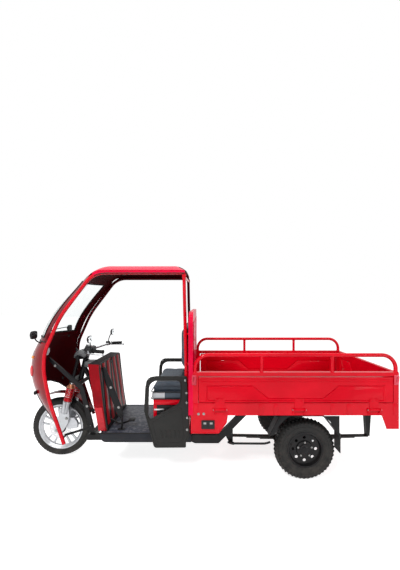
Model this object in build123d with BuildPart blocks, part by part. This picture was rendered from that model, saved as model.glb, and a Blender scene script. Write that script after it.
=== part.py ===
from build123d import *
import os
from math import atan2, cos, radians, sin, sqrt, tan

os.makedirs("parts", exist_ok=True)

# Electric cargo tricycle, in millimetres.
# +X points forward, +Y to the vehicle's left, +Z up. The floor is Z = 0.

# Wheels and their places
wheelbase = 2445
front_axle_x = 1459
rear_axle_x = front_axle_x - wheelbase
front_tyre_radius = 306
front_tyre_width = 82
front_bead_radius = 229
rear_tyre_radius = 277
rear_tyre_width = 115
rear_bead_radius = 153
rear_wheel_y = 437.5
running_gap = 0.05

# Steering: the stem leans back by the rake, and the legs stand ahead of it
rake = 14
stem_x = 1250
stem_ref_z = 850
leg_lead = 45
leg_y = 102
slider_radius = 38
stanchion_radius = 16
slider_top_z = 604
spring_radius = 43
spring_top_z = 782

# Cargo bed
bed_front_x = 36
bed_length = 1803
bed_half_width = 600
sill_bottom_z = 638
sill_top_z = 747
sill_width = 30
floor_plate = 3
top_bar_z = 981
top_bar_height = 34
top_bar_width = 40
guard_rail_z = 1163
guard_tube_radius = 17
guard_bend = 120
post_width = 45
panel_thickness = 30
panel_end_gap = 6
hinge_axis_out = 12
hinge_axis_z = 690
hinge_pin_radius = 4
bed_rear_x = bed_front_x - bed_length

# Cab
box_half_width = 370
cab_half_width = box_half_width + 20
cab_tube_radius = 17
floor_top_z = 389
floor_half_width = cab_half_width + 10
floor_front_x = 918
cab_rear_x = 60
shield_half_width = cab_half_width - 40
seat_front_x = 430
seat_top_z = 840
roof_half_width = cab_half_width + 30
roof_top_z = 2005
roof_lip_z = roof_top_z - 104
shell_wall = 8

# Frame rails
rail_y = 320
rail_width = 50
rail_height = 80
low_rail_z = 315
cab_rail_height = 48
high_rail_z = sill_bottom_z - rail_height / 2


def stem_axis_x(z):
    """X of the steering axis at height z."""
    return stem_x - (z - stem_ref_z) * tan(radians(rake))


def leg_axis_x(z):
    """X of the fork legs' centre line at height z."""
    return stem_axis_x(z) + leg_lead / cos(radians(rake))


def raked_plane(x, z, y=0):
    """A plane square to the steering axis, with its normal up along the axis."""
    return Plane(
        origin=(x, y, z), x_dir=(cos(radians(rake)), 0, sin(radians(rake))),
        z_dir=(-sin(radians(rake)), 0, cos(radians(rake))),
    )


def bent_tube(points, bends, radius):
    """A round bar along straight runs joined by tangent arcs."""
    with BuildPart() as run:
        with BuildLine() as path:
            if len(points) > 2:
                FilletPolyline(*points, radius=bends)
            else:
                Line(*points)
        with BuildSketch(Plane(origin=path.line @ 0, z_dir=path.line % 0)):
            Circle(radius)
        sweep()
    return run.part


def straight_bar(start, end, radius):
    """A round bar between two points."""
    return bent_tube([start, end], [], radius)


def block(low, high):
    """A box between two opposite corners."""
    size = [b - a for a, b in zip(low, high)]
    middle = [(a + b) / 2 for a, b in zip(low, high)]
    with BuildPart(Plane.XY.move(Location(tuple(middle)))) as box:
        Box(*size)
    return box.part


def side_plate(outline, y_low, y_high, holes=()):
    """A flat plate in the XZ plane with the given outline, between two widths."""
    with BuildPart() as plate:
        with BuildSketch(Plane.XZ.offset(-y_low)):
            with BuildLine():
                Polyline(*outline, close=True)
            make_face()
            for hole in holes:
                with BuildLine():
                    Polyline(*hole, close=True)
                make_face(mode=Mode.SUBTRACT)
        extrude(amount=-(y_high - y_low))
    return plate.part


def save(piece, name):
    """Labels a finished piece and writes its file."""
    piece.part.label = name
    export_step(piece.part, f"parts/{name}.step")


# Front tyre: a narrow ribbed tyre
def tyre(centre_x, centre_y, radius, width, bead_radius):
    """A closed tyre ring with a rounded crown, standing on its lug tips."""
    half = width / 2
    shoulder = radius - width * 0.22
    with BuildPart() as ring:
        with BuildSketch(Plane.XY):
            with BuildLine():
                Line((-half * 0.68, bead_radius), (half * 0.68, bead_radius))
                ThreePointArc(
                    (half * 0.68, bead_radius),
                    (half, bead_radius + (shoulder - bead_radius) * 0.6),
                    (half * 0.86, shoulder),
                )
                Line((half * 0.86, shoulder), (half * 0.5, radius))
                Line((half * 0.5, radius), (-half * 0.5, radius))
                Line((-half * 0.5, radius), (-half * 0.86, shoulder))
                ThreePointArc(
                    (-half * 0.86, shoulder),
                    (-half, bead_radius + (shoulder - bead_radius) * 0.6),
                    (-half * 0.68, bead_radius),
                )
            make_face()
        revolve(axis=Axis.X)
    return ring.part.rotate(Axis.Z, 90).moved(Location((centre_x, centre_y, radius)))


with BuildPart() as front_tyre:
    add(tyre(front_axle_x, 0, front_tyre_radius, front_tyre_width, front_bead_radius))
save(front_tyre, "front_tyre")

# Front rim: a cast ring, five spokes and a hub on a fixed axle
front_axle_radius = 8
front_hub_half = 42
front_hub_radius = 30
front_rim_wall = 12
wheel_plane = Plane(origin=(front_axle_x, 0, front_tyre_radius), x_dir=(1, 0, 0), z_dir=(0, -1, 0))
with BuildPart() as front_rim:
    with BuildSketch(wheel_plane):
        Circle(front_bead_radius)
        Circle(front_bead_radius - front_rim_wall, mode=Mode.SUBTRACT)
    extrude(amount=27, both=True)
    with BuildSketch(wheel_plane):
        Circle(front_hub_radius)
    extrude(amount=front_hub_half, both=True)
    with BuildSketch(wheel_plane):
        with PolarLocations((front_bead_radius + front_hub_radius) / 2 - 4, 5, start_angle=18):
            Rectangle(front_bead_radius - front_hub_radius, 26)
    extrude(amount=12, both=True)
    with BuildSketch(wheel_plane):
        Circle(front_axle_radius + running_gap)
    extrude(amount=front_hub_half, both=True, mode=Mode.SUBTRACT)
save(front_rim, "front_rim")

# Brake disc, bolted to the left side of the front hub
brake_disc_radius = 116
brake_disc_y = front_hub_half
with BuildPart() as brake_disc:
    with BuildSketch(wheel_plane.offset(-brake_disc_y)):
        Circle(brake_disc_radius)
        Circle(front_axle_radius + 4, mode=Mode.SUBTRACT)
        with PolarLocations(brake_disc_radius * 0.78, 12):
            Circle(7, mode=Mode.SUBTRACT)
    extrude(amount=-4)
save(brake_disc, "brake_disc")

# Rear wheels: a steel disc rim with round windows, on a hub that turns on the axle stub
stub_radius = 15
hub_radius = 48
disc_window_radius = 14
rim_half = 50
flange_radius = rear_bead_radius + 12
for side, name in ((1, "left"), (-1, "right")):
    with BuildPart() as rear_tyre:
        add(tyre(rear_axle_x, side * rear_wheel_y, rear_tyre_radius, rear_tyre_width, rear_bead_radius))
    save(rear_tyre, f"rear_tyre_{name}")

    hub_plane = Plane(
        origin=(rear_axle_x, side * rear_wheel_y, rear_tyre_radius),
        x_dir=(side, 0, 0), z_dir=(0, side, 0),
    )
    with BuildPart() as rear_rim:
        with BuildSketch(hub_plane):
            Circle(rear_bead_radius)
            Circle(rear_bead_radius - 6, mode=Mode.SUBTRACT)
        extrude(amount=rim_half - 12, both=True)
        with BuildSketch(hub_plane.offset(12)):
            Circle(rear_bead_radius - 2)
            with PolarLocations(rear_bead_radius * 0.68, 8):
                Circle(disc_window_radius, mode=Mode.SUBTRACT)
        extrude(amount=6)
        with BuildSketch(hub_plane.offset(-52)):
            Circle(hub_radius)
        extrude(amount=92)
        with BuildSketch(hub_plane.offset(-52)):
            Circle(stub_radius + running_gap)
        extrude(amount=84, mode=Mode.SUBTRACT)
    save(rear_rim, f"rear_rim_{name}")

# Rear axle: tube, differential and motor in the middle, brake drums and stubs outside
axle_tube_radius = 30
drum_radius = 105
with BuildPart() as rear_axle:
    add(straight_bar((rear_axle_x, -360, rear_tyre_radius), (rear_axle_x, 360, rear_tyre_radius), axle_tube_radius))
    for side in (1, -1):
        add(straight_bar((rear_axle_x, side * 350, rear_tyre_radius), (rear_axle_x, side * 380, rear_tyre_radius), drum_radius))
        add(straight_bar((rear_axle_x, side * 350, rear_tyre_radius), (rear_axle_x, side * 468, rear_tyre_radius), stub_radius))
    with BuildSketch(Plane.XZ.offset(60)):
        with Locations((rear_axle_x, rear_tyre_radius)):
            Circle(95)
    extrude(amount=-120)
    with BuildSketch(Plane.XZ.offset(-60)):
        with Locations((rear_axle_x + 120, rear_tyre_radius + 10)):
            Circle(85)
    extrude(amount=-200)
    add(block((rear_axle_x, 20, rear_tyre_radius - 60), (rear_axle_x + 150, 62, rear_tyre_radius + 60)))
save(rear_axle, "rear_axle")

# Leaf springs: a cambered stack clamped on each end of the axle tube
spring_half_length = rear_axle_x - bed_rear_x - 132
spring_front_x = rear_axle_x + spring_half_length
spring_eye_z = 318
leaf_thickness = 8
spring_seat_z = rear_tyre_radius + axle_tube_radius
spring_rear_x = 2 * rear_axle_x - spring_front_x
leaf_table = (
    # stack order, half-length
    (0, spring_half_length),
    (1, spring_half_length * 0.8),
    (2, spring_half_length * 0.6),
    (3, spring_half_length * 0.4),
)
with BuildPart() as leaf_springs:
    for side in (1, -1):
        for order, half_length in leaf_table:
            rise = (spring_eye_z - spring_seat_z - leaf_thickness / 2) * (half_length / spring_half_length) ** 2
            base = spring_seat_z + (3 - order) * leaf_thickness
            low_end = (rear_axle_x - half_length, base + rise)
            high_end = (rear_axle_x + half_length, base + rise)
            with BuildSketch(Plane.XZ.offset(-side * rail_y - rail_width / 2)):
                with BuildLine():
                    ThreePointArc(low_end, (rear_axle_x, base), high_end)
                    Line(high_end, (high_end[0], high_end[1] + leaf_thickness))
                    ThreePointArc(
                        (high_end[0], high_end[1] + leaf_thickness),
                        (rear_axle_x, base + leaf_thickness),
                        (low_end[0], low_end[1] + leaf_thickness),
                    )
                    Line((low_end[0], low_end[1] + leaf_thickness), low_end)
                make_face()
            extrude(amount=rail_width)
        add(block(
            (rear_axle_x - 55, side * rail_y - rail_width / 2 - 4, spring_seat_z),
            (rear_axle_x + 55, side * rail_y + rail_width / 2 + 4, spring_seat_z + 44),
        ))
save(leaf_springs, "leaf_springs")

# Frame rails: low under the cab, kicked up to carry the bed
kick_low_x = spring_front_x + 137
kick_high_x = spring_front_x - 143
rail_front_x = 1060
rail_rear_x = bed_rear_x + 47
rail_path = (
    (rail_front_x, low_rail_z),
    (kick_low_x, low_rail_z),
    (kick_high_x, high_rail_z),
    (rail_rear_x, high_rail_z),
)
with BuildPart() as frame_rails:
    half = rail_height / 2
    for side in (1, -1):
        under_cab = [
            (bed_front_x - 10, low_rail_z - half), (bed_front_x + 60, low_rail_z + half - cab_rail_height),
            (rail_front_x, low_rail_z + half - cab_rail_height),
        ]
        outline = [(x, z + half) for x, z in rail_path] + [(x, z - half) for x, z in rail_path[:0:-1]] + under_cab
        add(side_plate(outline, side * rail_y - rail_width / 2, side * rail_y + rail_width / 2))
        front_hanger = [
            (spring_front_x + 75, low_rail_z + 40), (spring_front_x + 30, low_rail_z - 40),
            (spring_front_x + 0.3, low_rail_z - 25), (spring_front_x + 0.3, low_rail_z + 130),
        ]
        add(side_plate(front_hanger, side * rail_y - rail_width / 2, side * rail_y + rail_width / 2))
        rear_hanger = [
            (spring_rear_x - 30, high_rail_z), (spring_rear_x + 30, high_rail_z),
            (spring_rear_x + 14, spring_eye_z + 28.3), (spring_rear_x - 14, spring_eye_z + 28.3),
        ]
        add(side_plate(rear_hanger, side * rail_y - rail_width / 2, side * rail_y + rail_width / 2))
save(frame_rails, "frame_rails")

# Cross members between the rails
cab_cross_z = low_rail_z + rail_height / 2 - 29
cross_table = (
    # x, z, half depth along X, half height
    (rail_front_x - 30, cab_cross_z, 25, 19),
    (520, cab_cross_z, 20, 19),
    (0, low_rail_z, 20, 25),
    (rear_axle_x + 366, high_rail_z, 25, 30),
    (rear_axle_x - 164, high_rail_z, 25, 30),
    (rail_rear_x + 30, high_rail_z, 25, 30),
)
cross_half = rail_y - rail_width / 2
with BuildPart() as cross_members:
    for x, z, half_depth, half_height in cross_table:
        add(block((x - half_depth, -cross_half, z - half_height), (x + half_depth, cross_half, z + half_height)))
save(cross_members, "cross_members")

# Neck: the headstock, its bent down tube and the cross tube to the cab struts
headstock_radius = 27
stem_radius = 14
neck_tube_radius = 24
cross_tube_x = 1165
cross_tube_z = 829
neck_foot_z = cab_cross_z + 26
strut_y = 300
strut_half = 12
head_low_z = 815
head_high_z = 1025
with BuildPart() as neck_frame:
    add(straight_bar(
        (stem_axis_x(head_low_z), 0, head_low_z), (stem_axis_x(head_high_z), 0, head_high_z), headstock_radius,
    ))
    add(bent_tube(
        [(stem_axis_x(935) - 4, 0, 935), (cross_tube_x - 12, 0, 800), (rail_front_x - 30, 0, neck_foot_z)],
        [80], neck_tube_radius,
    ))
    add(straight_bar(
        (cross_tube_x, -strut_y + strut_half, cross_tube_z), (cross_tube_x, strut_y - strut_half, cross_tube_z), 19,
    ))
    add(straight_bar(
        (stem_axis_x(head_low_z - 20), 0, head_low_z - 20), (stem_axis_x(head_high_z + 20), 0, head_high_z + 20),
        stem_radius + running_gap,
    ), mode=Mode.SUBTRACT)
save(neck_frame, "neck_frame")

# Cab struts: from the nose down past the headstock to the rails
strut_path = ((1440, 1075), (1128, 793), (1020, 355))
brace_path = ((1291, 340), (1020, 425))
brace_thick = 8
with BuildPart() as cab_struts:
    for side in (1, -1):
        low = side * strut_y - strut_half
        high = side * strut_y + strut_half
        (ax, az), (bx, bz), (cx, cz) = strut_path
        outline = [
            (ax, az + 16), (ax, az - 20), (bx + 18, bz - 12), (cx + 22, cz), (cx - 22, cz),
            (bx - 22, bz + 2), (bx - 6, bz + 24),
        ]
        add(side_plate(outline, low, high))
        (front_x, front_z), (rear_x, rear_z) = brace_path
        brace = [(front_x, front_z + 11), (front_x, front_z - 11), (rear_x, rear_z - 11), (rear_x, rear_z + 11)]
        face = side * (strut_y + strut_half)
        out = face + side * brace_thick
        add(side_plate(brace, min(face, out), max(face, out)))
        add(straight_bar(
            (front_x - 12, face, front_z), (front_x - 12, side * (cab_half_width - cab_tube_radius), front_z), 9,
        ))
save(cab_struts, "cab_struts")

# Steering stem, crowns and stanchions
with BuildPart() as fork_crown:
    add(straight_bar((stem_axis_x(780), 0, 780), (stem_axis_x(1075), 0, 1075), stem_radius))
    for z, thick in ((head_low_z - 6, -24), (head_high_z + 6, 24)):
        with BuildSketch(raked_plane(stem_axis_x(z), z)):
            with BuildLine():
                Polyline(
                    (-24, -26), (-24, 26), (leg_lead - 12, leg_y + 24), (leg_lead + 24, leg_y + 24),
                    (leg_lead + 24, -leg_y - 24), (leg_lead - 12, -leg_y - 24), close=True,
                )
            make_face()
        extrude(amount=thick)
    for side in (1, -1):
        add(straight_bar(
            (leg_axis_x(slider_top_z), side * leg_y, slider_top_z), (leg_axis_x(1075), side * leg_y, 1075),
            stanchion_radius,
        ))
save(fork_crown, "fork_crown")

# Fork sliders: broad cast lower legs with the axle between them
axle_drop = 306
sleeve_low_z = 478
casting_thick = 32
casting_outline = (
    (1340, 530), (1430, 530), (1442, 453), (1474, 397), (1489, 330), (1476, 286), (1444, 274), (1402, 292),
    (1350, 372), (1334, 450),
)
with BuildPart() as fork_sliders:
    for side in (1, -1):
        add(straight_bar(
            (leg_axis_x(sleeve_low_z), side * leg_y, sleeve_low_z), (leg_axis_x(slider_top_z), side * leg_y, slider_top_z),
            slider_radius,
        ))
        add(side_plate(casting_outline, side * leg_y - casting_thick / 2, side * leg_y + casting_thick / 2))
    add(straight_bar((front_axle_x, -leg_y - 20, axle_drop), (front_axle_x, leg_y + 20, axle_drop), front_axle_radius))
save(fork_sliders, "fork_sliders")

# Fork springs around the stanchions
with BuildPart() as fork_springs:
    for side in (1, -1):
        for radius, mode in ((spring_radius, Mode.ADD), (stanchion_radius + 0.5, Mode.SUBTRACT)):
            add(straight_bar(
                (leg_axis_x(slider_top_z + 3), side * leg_y, slider_top_z + 3),
                (leg_axis_x(spring_top_z - 4), side * leg_y, spring_top_z - 4), radius,
            ), mode=mode)
save(fork_springs, "fork_springs")

# Front fender: an arc over the tyre, carried by the sliders
fender_radius = 366
fender_half_width = 44
fender_front_angle = 60
fender_rear_angle = 150
with BuildPart() as front_fender:
    with BuildSketch(wheel_plane):
        with BuildLine():
            for r, flip in ((fender_radius, False), (fender_radius - 5, True)):
                CenterArc((0, 0), r, fender_front_angle, fender_rear_angle - fender_front_angle)
            for angle in (fender_front_angle, fender_rear_angle):
                Line(
                    ((fender_radius - 5) * cos(radians(angle)), (fender_radius - 5) * sin(radians(angle))),
                    (fender_radius * cos(radians(angle)), fender_radius * sin(radians(angle))),
                )
        make_face()
    extrude(amount=fender_half_width, both=True)
    for side in (1, -1):
        stay_x = leg_axis_x(575)
        y_inner = side * fender_half_width
        y_outer = side * (fender_half_width + 5)
        stay = ((stay_x - 14, 565), (stay_x + 14, 565), (stay_x + 30, 664), (stay_x - 40, 651))
        add(side_plate(stay, min(y_inner, y_outer), max(y_inner, y_outer)))
        add(straight_bar((stay_x, y_outer, 577), (stay_x, side * (leg_y - slider_radius), 577), 8))
save(front_fender, "front_fender")

# Handlebar with its riser clamp
grip_y = 330
grip_x = 978
grip_z = 1150
bar_radius = 11
with BuildPart() as handlebar:
    top_x = stem_axis_x(1075)
    with BuildSketch(raked_plane(top_x, 1075)):
        Circle(26)
    extrude(amount=32)
    add(bent_tube(
        [
            (grip_x - 60, -grip_y, grip_z), (grip_x + 60, -grip_y + 40, grip_z), (top_x - 12, -90, 1106),
            (top_x - 12, 90, 1106), (grip_x + 60, grip_y - 40, grip_z), (grip_x - 60, grip_y, grip_z),
        ],
        [40, 50, 50, 40], bar_radius,
    ))
save(handlebar, "handlebar")

# Rubber grips on the bar's ends
grip_radius = 17
grip_length = 110
with BuildPart() as grips:
    for side in (1, -1):
        inner = Vector(grip_x + 60, side * (grip_y - 40), grip_z)
        outer = Vector(grip_x - 60, side * grip_y, grip_z)
        along = (outer - inner).normalized()
        add(straight_bar(outer - along * (grip_length - 8), outer + along * 8, grip_radius))
        add(straight_bar(outer - along * grip_length, outer + along * 0.5, bar_radius), mode=Mode.SUBTRACT)
save(grips, "grips")

# Instrument pod in front of the bar's middle
with BuildPart() as instrument_pod:
    with BuildSketch(raked_plane(stem_axis_x(1120) - 20, 1113)):
        RectangleRounded(100, 150, 28)
    extrude(amount=46, taper=12)
save(instrument_pod, "instrument_pod")

# Mirrors on stalks from the bar
with BuildPart() as mirrors:
    for side in (1, -1):
        foot = (grip_x + 76, side * (grip_y - 52), grip_z + 11)
        add(straight_bar((foot[0], foot[1], foot[2] - 1.4), (foot[0] - 10, foot[1] + side * 40, 1262), 5))
        add(block(
            (foot[0] - 34, foot[1] + side * 85 - 50, 1240), (foot[0] - 14, foot[1] + side * 85 + 50, 1310),
        ))
save(mirrors, "mirrors")

# Brake caliper behind the left leg, bolted to the inside of its casting
caliper_outline = ((1264, 312), (1262, 372), (1296, 420), (1344, 424), (1376, 384), (1376, 330), (1352, 304))
caliper_inner_y = brake_disc_y + 9
caliper_outer_y = leg_y - casting_thick / 2 - 0.3
with BuildPart() as brake_caliper:
    add(side_plate(caliper_outline, caliper_inner_y, caliper_outer_y))
    fillet(brake_caliper.edges().filter_by(Axis.Y), 9)
save(brake_caliper, "brake_caliper")

# Floor board: a tray with a turned-down skirt
skirt_z = 309
floor_thick = floor_top_z - (low_rail_z + rail_height / 2)
with BuildPart() as floor_board:
    add(block(
        (cab_rear_x, -floor_half_width, floor_top_z - floor_thick), (floor_front_x, floor_half_width, floor_top_z),
    ))
    for side in (1, -1):
        add(block(
            (cab_rear_x, side * (floor_half_width - 8) - 8, skirt_z),
            (floor_front_x, side * (floor_half_width - 8) + 8, floor_top_z),
        ))
save(floor_board, "floor_board")

# Leg shield: a moulded board across the cab, hollow towards the wheel
shield_outline = (
    (951, 1030), (1051, 1035), (993, 615), (925, floor_top_z + 0.3), (868, floor_top_z + 0.3), (900, 600),
)
shield_wall = 8
with BuildPart() as leg_shield:
    add(side_plate(shield_outline, -shield_half_width, shield_half_width))
    inner = (
        (951 + shield_wall + 8, 1030 - shield_wall), (1060, 1030 - shield_wall), (1001, 612),
        (935, floor_top_z - 2), (868 + shield_wall + 8, floor_top_z - 2), (900 + shield_wall + 8, 600),
    )
    with BuildSketch(Plane.XZ.offset(shield_half_width - shield_wall)):
        with BuildLine():
            Polyline(*inner, close=True)
        make_face()
    extrude(amount=-2 * (shield_half_width - shield_wall), mode=Mode.SUBTRACT)
save(leg_shield, "leg_shield")

# Seat box, open below, with the battery inside
seat_rear_x = 78
box_top_z = 700
box_wall = 10
with BuildPart() as seat_box:
    add(block((seat_rear_x, -box_half_width, floor_top_z), (seat_front_x - 10, box_half_width, box_top_z)))
    add(block(
        (seat_rear_x + box_wall, -box_half_width + box_wall, floor_top_z - 1),
        (seat_front_x - 10 - box_wall, box_half_width - box_wall, box_top_z - box_wall),
    ), mode=Mode.SUBTRACT)
save(seat_box, "seat_box")

with BuildPart() as battery_pack:
    battery_half_width = box_half_width - 70
    add(block(
        (seat_rear_x + 25, -battery_half_width, floor_top_z), (seat_front_x - 40, battery_half_width, 640),
    ))
save(battery_pack, "battery_pack")

# Seat cushion and backrest
with BuildPart() as seat_cushion:
    add(block((seat_rear_x + 20, -box_half_width, box_top_z + 0.3), (seat_front_x + 18, box_half_width, seat_top_z)))
    fillet(seat_cushion.edges().filter_by(Axis.Z), 40)
    fillet(seat_cushion.faces().sort_by(Axis.Z)[-1].edges(), 25)
save(seat_cushion, "seat_cushion")

back_x = 98
with BuildPart() as backrest:
    add(block((back_x, -cab_half_width + 25, 980), (back_x + 50, cab_half_width - 25, 1400)))
    fillet(backrest.edges().filter_by(Axis.X), 50)
    fillet(backrest.faces().sort_by(Axis.X)[-1].edges(), 18)
save(backrest, "backrest")

# Seat guards: pierced side panels beside the seat
guard_corners = (
    # x, z, corner radius
    (494, 623, 60), (478, 943, 110), (98, 943, 12), (74, 383, 20), (108, 330, 10), (106, 284, 12), (401, 282, 30),
)
guard_window = ((441, 543, 12), (457, 580, 20), (447, 903, 80), (156, 903, 12), (161, 698, 12))
guard_y = cab_half_width + 52
guard_thick = 16
with BuildPart() as seat_guards:
    for side in (1, -1):
        with BuildSketch(Plane.XZ.offset(-side * guard_y - guard_thick / 2)):
            for corners, mode in ((guard_corners, Mode.ADD), (guard_window, Mode.SUBTRACT)):
                with BuildLine():
                    FilletPolyline(
                        *[(x, z) for x, z, _ in corners], radius=[bend for _, _, bend in corners], close=True,
                    )
                make_face(mode=mode)
        extrude(amount=guard_thick)
        for z in (420, 600):
            add(block(
                (150, min(side * (guard_y - guard_thick / 2), side * box_half_width), z - 15),
                (180, max(side * (guard_y - guard_thick / 2), side * box_half_width), z + 15),
            ))
save(seat_guards, "seat_guards")

# The cab's front edge, from the roof down the windshield to beside the wheel
edge_table = (
    # x, z, bend radius at this corner
    (145.3, roof_lip_z + 6.3, 0),
    (985, roof_lip_z + 6.3, 220),
    (1300, 1490, 900),
    (1450, 1150, 400),
    (1455, 960, 600),
    (1400, 690, 1000),
    (1262, 290, 0),
)


def edge_at(z):
    """X of the cab's front edge at height z, and its slope dx/dz there."""
    for (x_high, z_high, _), (x_low, z_low, _) in zip(edge_table, edge_table[1:]):
        if z >= z_low or (x_low, z_low) == edge_table[-1][:2]:
            slope = (x_high - x_low) / (z_high - z_low)
            return x_low + (z - z_low) * slope, slope


with BuildPart() as cab_pillars:
    for side in (1, -1):
        add(bent_tube(
            [(x, side * cab_half_width, z) for x, z, _ in edge_table],
            [bend for _, _, bend in edge_table[1:-1]], cab_tube_radius,
        ))
save(cab_pillars, "cab_pillars")

# Rear posts of the cab and the bars that carry the backrest
post_top = (129, roof_lip_z + 2)
post_foot = (96, floor_top_z + 1)
with BuildPart() as rear_posts:
    for side in (1, -1):
        add(straight_bar(
            (post_foot[0], side * cab_half_width, post_foot[1]), (post_top[0], side * cab_half_width, post_top[1]), 16,
        ))
    for z in (1050, 1330):
        add(straight_bar((back_x - 10.6, -cab_half_width, z), (back_x - 10.6, cab_half_width, z), 10))
    add(straight_bar((128, -cab_half_width, roof_lip_z - 29), (128, cab_half_width, roof_lip_z - 29), 13))
save(rear_posts, "rear_posts")

# Front fairing and windshield: bands bowed forward between the two edge tubes
screen_top_z = roof_lip_z - 21
bow_table = (
    # z, bow ahead of the edge at the centre
    (screen_top_z, 139),
    (1700, 185),
    (1480, 212),
    (1250, 225),
    (1040, 270),
    (850, 285),
    (640, 240),
    (470, 150),
    (310, 60),
)
cowl_z = 1250


def bow_band(z, bow, wall, inset=0):
    """One horizontal section of the bowed shell."""
    x_edge, slope = edge_at(z)
    start = x_edge + cab_tube_radius * sqrt(1 + slope * slope)
    wall_x = wall * sqrt(1 + slope * slope)
    half = cab_half_width - 2
    with BuildSketch(Plane.XY.offset(z)) as band:
        with BuildLine():
            ThreePointArc(
                (start, half - inset), (start + bow - cab_tube_radius - inset * 1.4, 0), (start, -half + inset),
            )
            Line((start, -half + inset), (start, -half + inset + wall))
            ThreePointArc(
                (start, -half + inset + wall), (start + bow - cab_tube_radius - inset * 1.4 - wall_x, 0),
                (start, half - inset - wall),
            )
            Line((start, half - inset - wall), (start, half - inset))
        make_face()
    return band.sketch


def bow_shell(low_z, high_z, wall, inset=0):
    """The bowed shell between two heights of the table."""
    with BuildPart() as shell:
        for z, bow in bow_table:
            if low_z <= z <= high_z:
                add(bow_band(z, bow, wall, inset))
        loft()
    return shell.part


def front_prism(outline, start_x=1000, end_x=1900):
    """A prism along X with the given YZ outline, mirrored about the centre."""
    with BuildPart() as prism:
        with BuildSketch(Plane.YZ.offset(start_x)):
            with BuildLine():
                points = list(outline) + [(-y, z) for y, z in reversed(outline)]
                Polyline(*points, close=True)
            make_face()
        extrude(amount=end_x - start_x)
    return prism.part


def seated_on_pillars(shell):
    """The shell with a channel along each edge where the pillar tube lies."""
    with BuildPart() as seated:
        add(shell)
        for side in (1, -1):
            add(bent_tube(
                [(x, side * cab_half_width, z) for x, z, _ in edge_table],
                [bend for _, _, bend in edge_table[1:-1]], cab_tube_radius + glass_gap,
            ), mode=Mode.SUBTRACT)
    return seated.part


window_outline = ((cab_half_width - 52, 1290), (cab_half_width - 76, roof_lip_z - 71))
glass_gap = 0.3
screen = seated_on_pillars(bow_shell(cowl_z, screen_top_z, shell_wall))
nose = seated_on_pillars(bow_shell(310, cowl_z, shell_wall))
with BuildPart() as windshield_frame:
    add(screen)
    add(front_prism(window_outline), mode=Mode.SUBTRACT)
save(windshield_frame, "windshield_frame")

with BuildPart() as windshield:
    add(screen)
    add(front_prism([(y - glass_gap, z + (glass_gap if z < 1500 else -glass_gap)) for y, z in window_outline]), mode=Mode.INTERSECT)
save(windshield, "windshield")

# Roof: a crowned shell that rolls down in front to meet the screen, with turned-down sides
roof_rear_x = 120
roof_wall = 10
roof_edge_z = roof_top_z - 73
tail_table = (
    # x, how far the crown has dropped there
    (roof_rear_x, 58),
    (roof_rear_x + 45, 22),
    (roof_rear_x + 120, 0),
)
roll_x = 900
roll_z = screen_top_z + glass_gap
screen_edge_x = edge_at(screen_top_z)[0]
side_reach = screen_edge_x + cab_tube_radius * sqrt(1 + edge_at(screen_top_z)[1] ** 2) - roll_x
centre_reach = screen_edge_x + bow_table[0][1] - cab_tube_radius + 17 - roll_x
roll_table = (
    # angle from upright, height of the edge, height of the crown, half width
    (0, roof_edge_z - roll_z, roof_top_z - roll_z, roof_half_width),
    (22, 53, 126, roof_half_width),
    (45, 63, 138, roof_half_width - 4),
    (68, 88, 172, roof_half_width - 18),
    (90, side_reach, centre_reach, cab_half_width - 2),
)


def crowned_band(plane, edge, crown, half, wall):
    """A crowned strip across the cab, with its height measured along the plane's Y."""
    with BuildSketch(plane) as band:
        with BuildLine():
            ThreePointArc((-half, edge), (0, crown), (half, edge))
            Line((half, edge), (half - wall, edge - wall))
            ThreePointArc((half - wall, edge - wall), (0, crown - wall), (-half + wall, edge - wall))
            Line((-half + wall, edge - wall), (-half, edge))
        make_face()
    return band.sketch


def roll_plane(angle):
    """The plane through the roll's axis, turned forward from upright."""
    return Plane(
        origin=(roll_x, 0, roll_z), x_dir=(0, 1, 0), z_dir=(cos(radians(angle)), 0, -sin(radians(angle))),
    )


with BuildPart() as roof_panel:
    with BuildPart(mode=Mode.PRIVATE) as tail:
        for x, drop in tail_table:
            add(crowned_band(Plane.YZ.offset(x), roof_edge_z, roof_top_z - drop, roof_half_width, roof_wall))
        loft()
    add(tail.part)
    with BuildSketch(Plane.YZ.offset(tail_table[-1][0])):
        add(crowned_band(Plane.XY, roof_edge_z, roof_top_z, roof_half_width, roof_wall))
    extrude(amount=roll_x - tail_table[-1][0])
    with BuildPart(mode=Mode.PRIVATE) as roll:
        for angle, edge, crown, half in roll_table:
            add(crowned_band(roll_plane(angle), edge, crown, half, roof_wall))
        loft()
    add(roll.part)
    cheek = (
        (roof_rear_x, roof_lip_z), (roll_x - 12, roof_lip_z), (roll_x + 40, roof_lip_z - 9),
        (roll_x + 78, roof_lip_z - 24), (roll_x + 88, roof_lip_z + 2), (roll_x + 52, roof_lip_z + 20),
        (roll_x + 20, roof_edge_z - 3), (roll_x, roof_edge_z - 1), (roof_rear_x, roof_edge_z - 1),
    )
    for side in (1, -1):
        inner_y = side * (roof_half_width - roof_wall)
        outer_y = side * roof_half_width
        add(side_plate(cheek, min(inner_y, outer_y), max(inner_y, outer_y)))
save(roof_panel, "roof_panel")

arch_outline = ((318, 200), (292, 450), (276, 600), (262, 645), (222, 705), (150, 748), (80, 762))
lamp_outline = ((150, 1035), (165, 1075), (150, 1115))
with BuildPart() as front_fairing:
    add(nose)
    add(front_prism(arch_outline), mode=Mode.SUBTRACT)
    add(front_prism(lamp_outline), mode=Mode.SUBTRACT)
save(front_fairing, "front_fairing")

with BuildPart() as headlamp:
    add(nose)
    add(front_prism([(y - glass_gap, z + (glass_gap if z < 1050 else -glass_gap if z > 1100 else 0)) for y, z in lamp_outline]), mode=Mode.INTERSECT)
save(headlamp, "headlamp")

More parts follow.
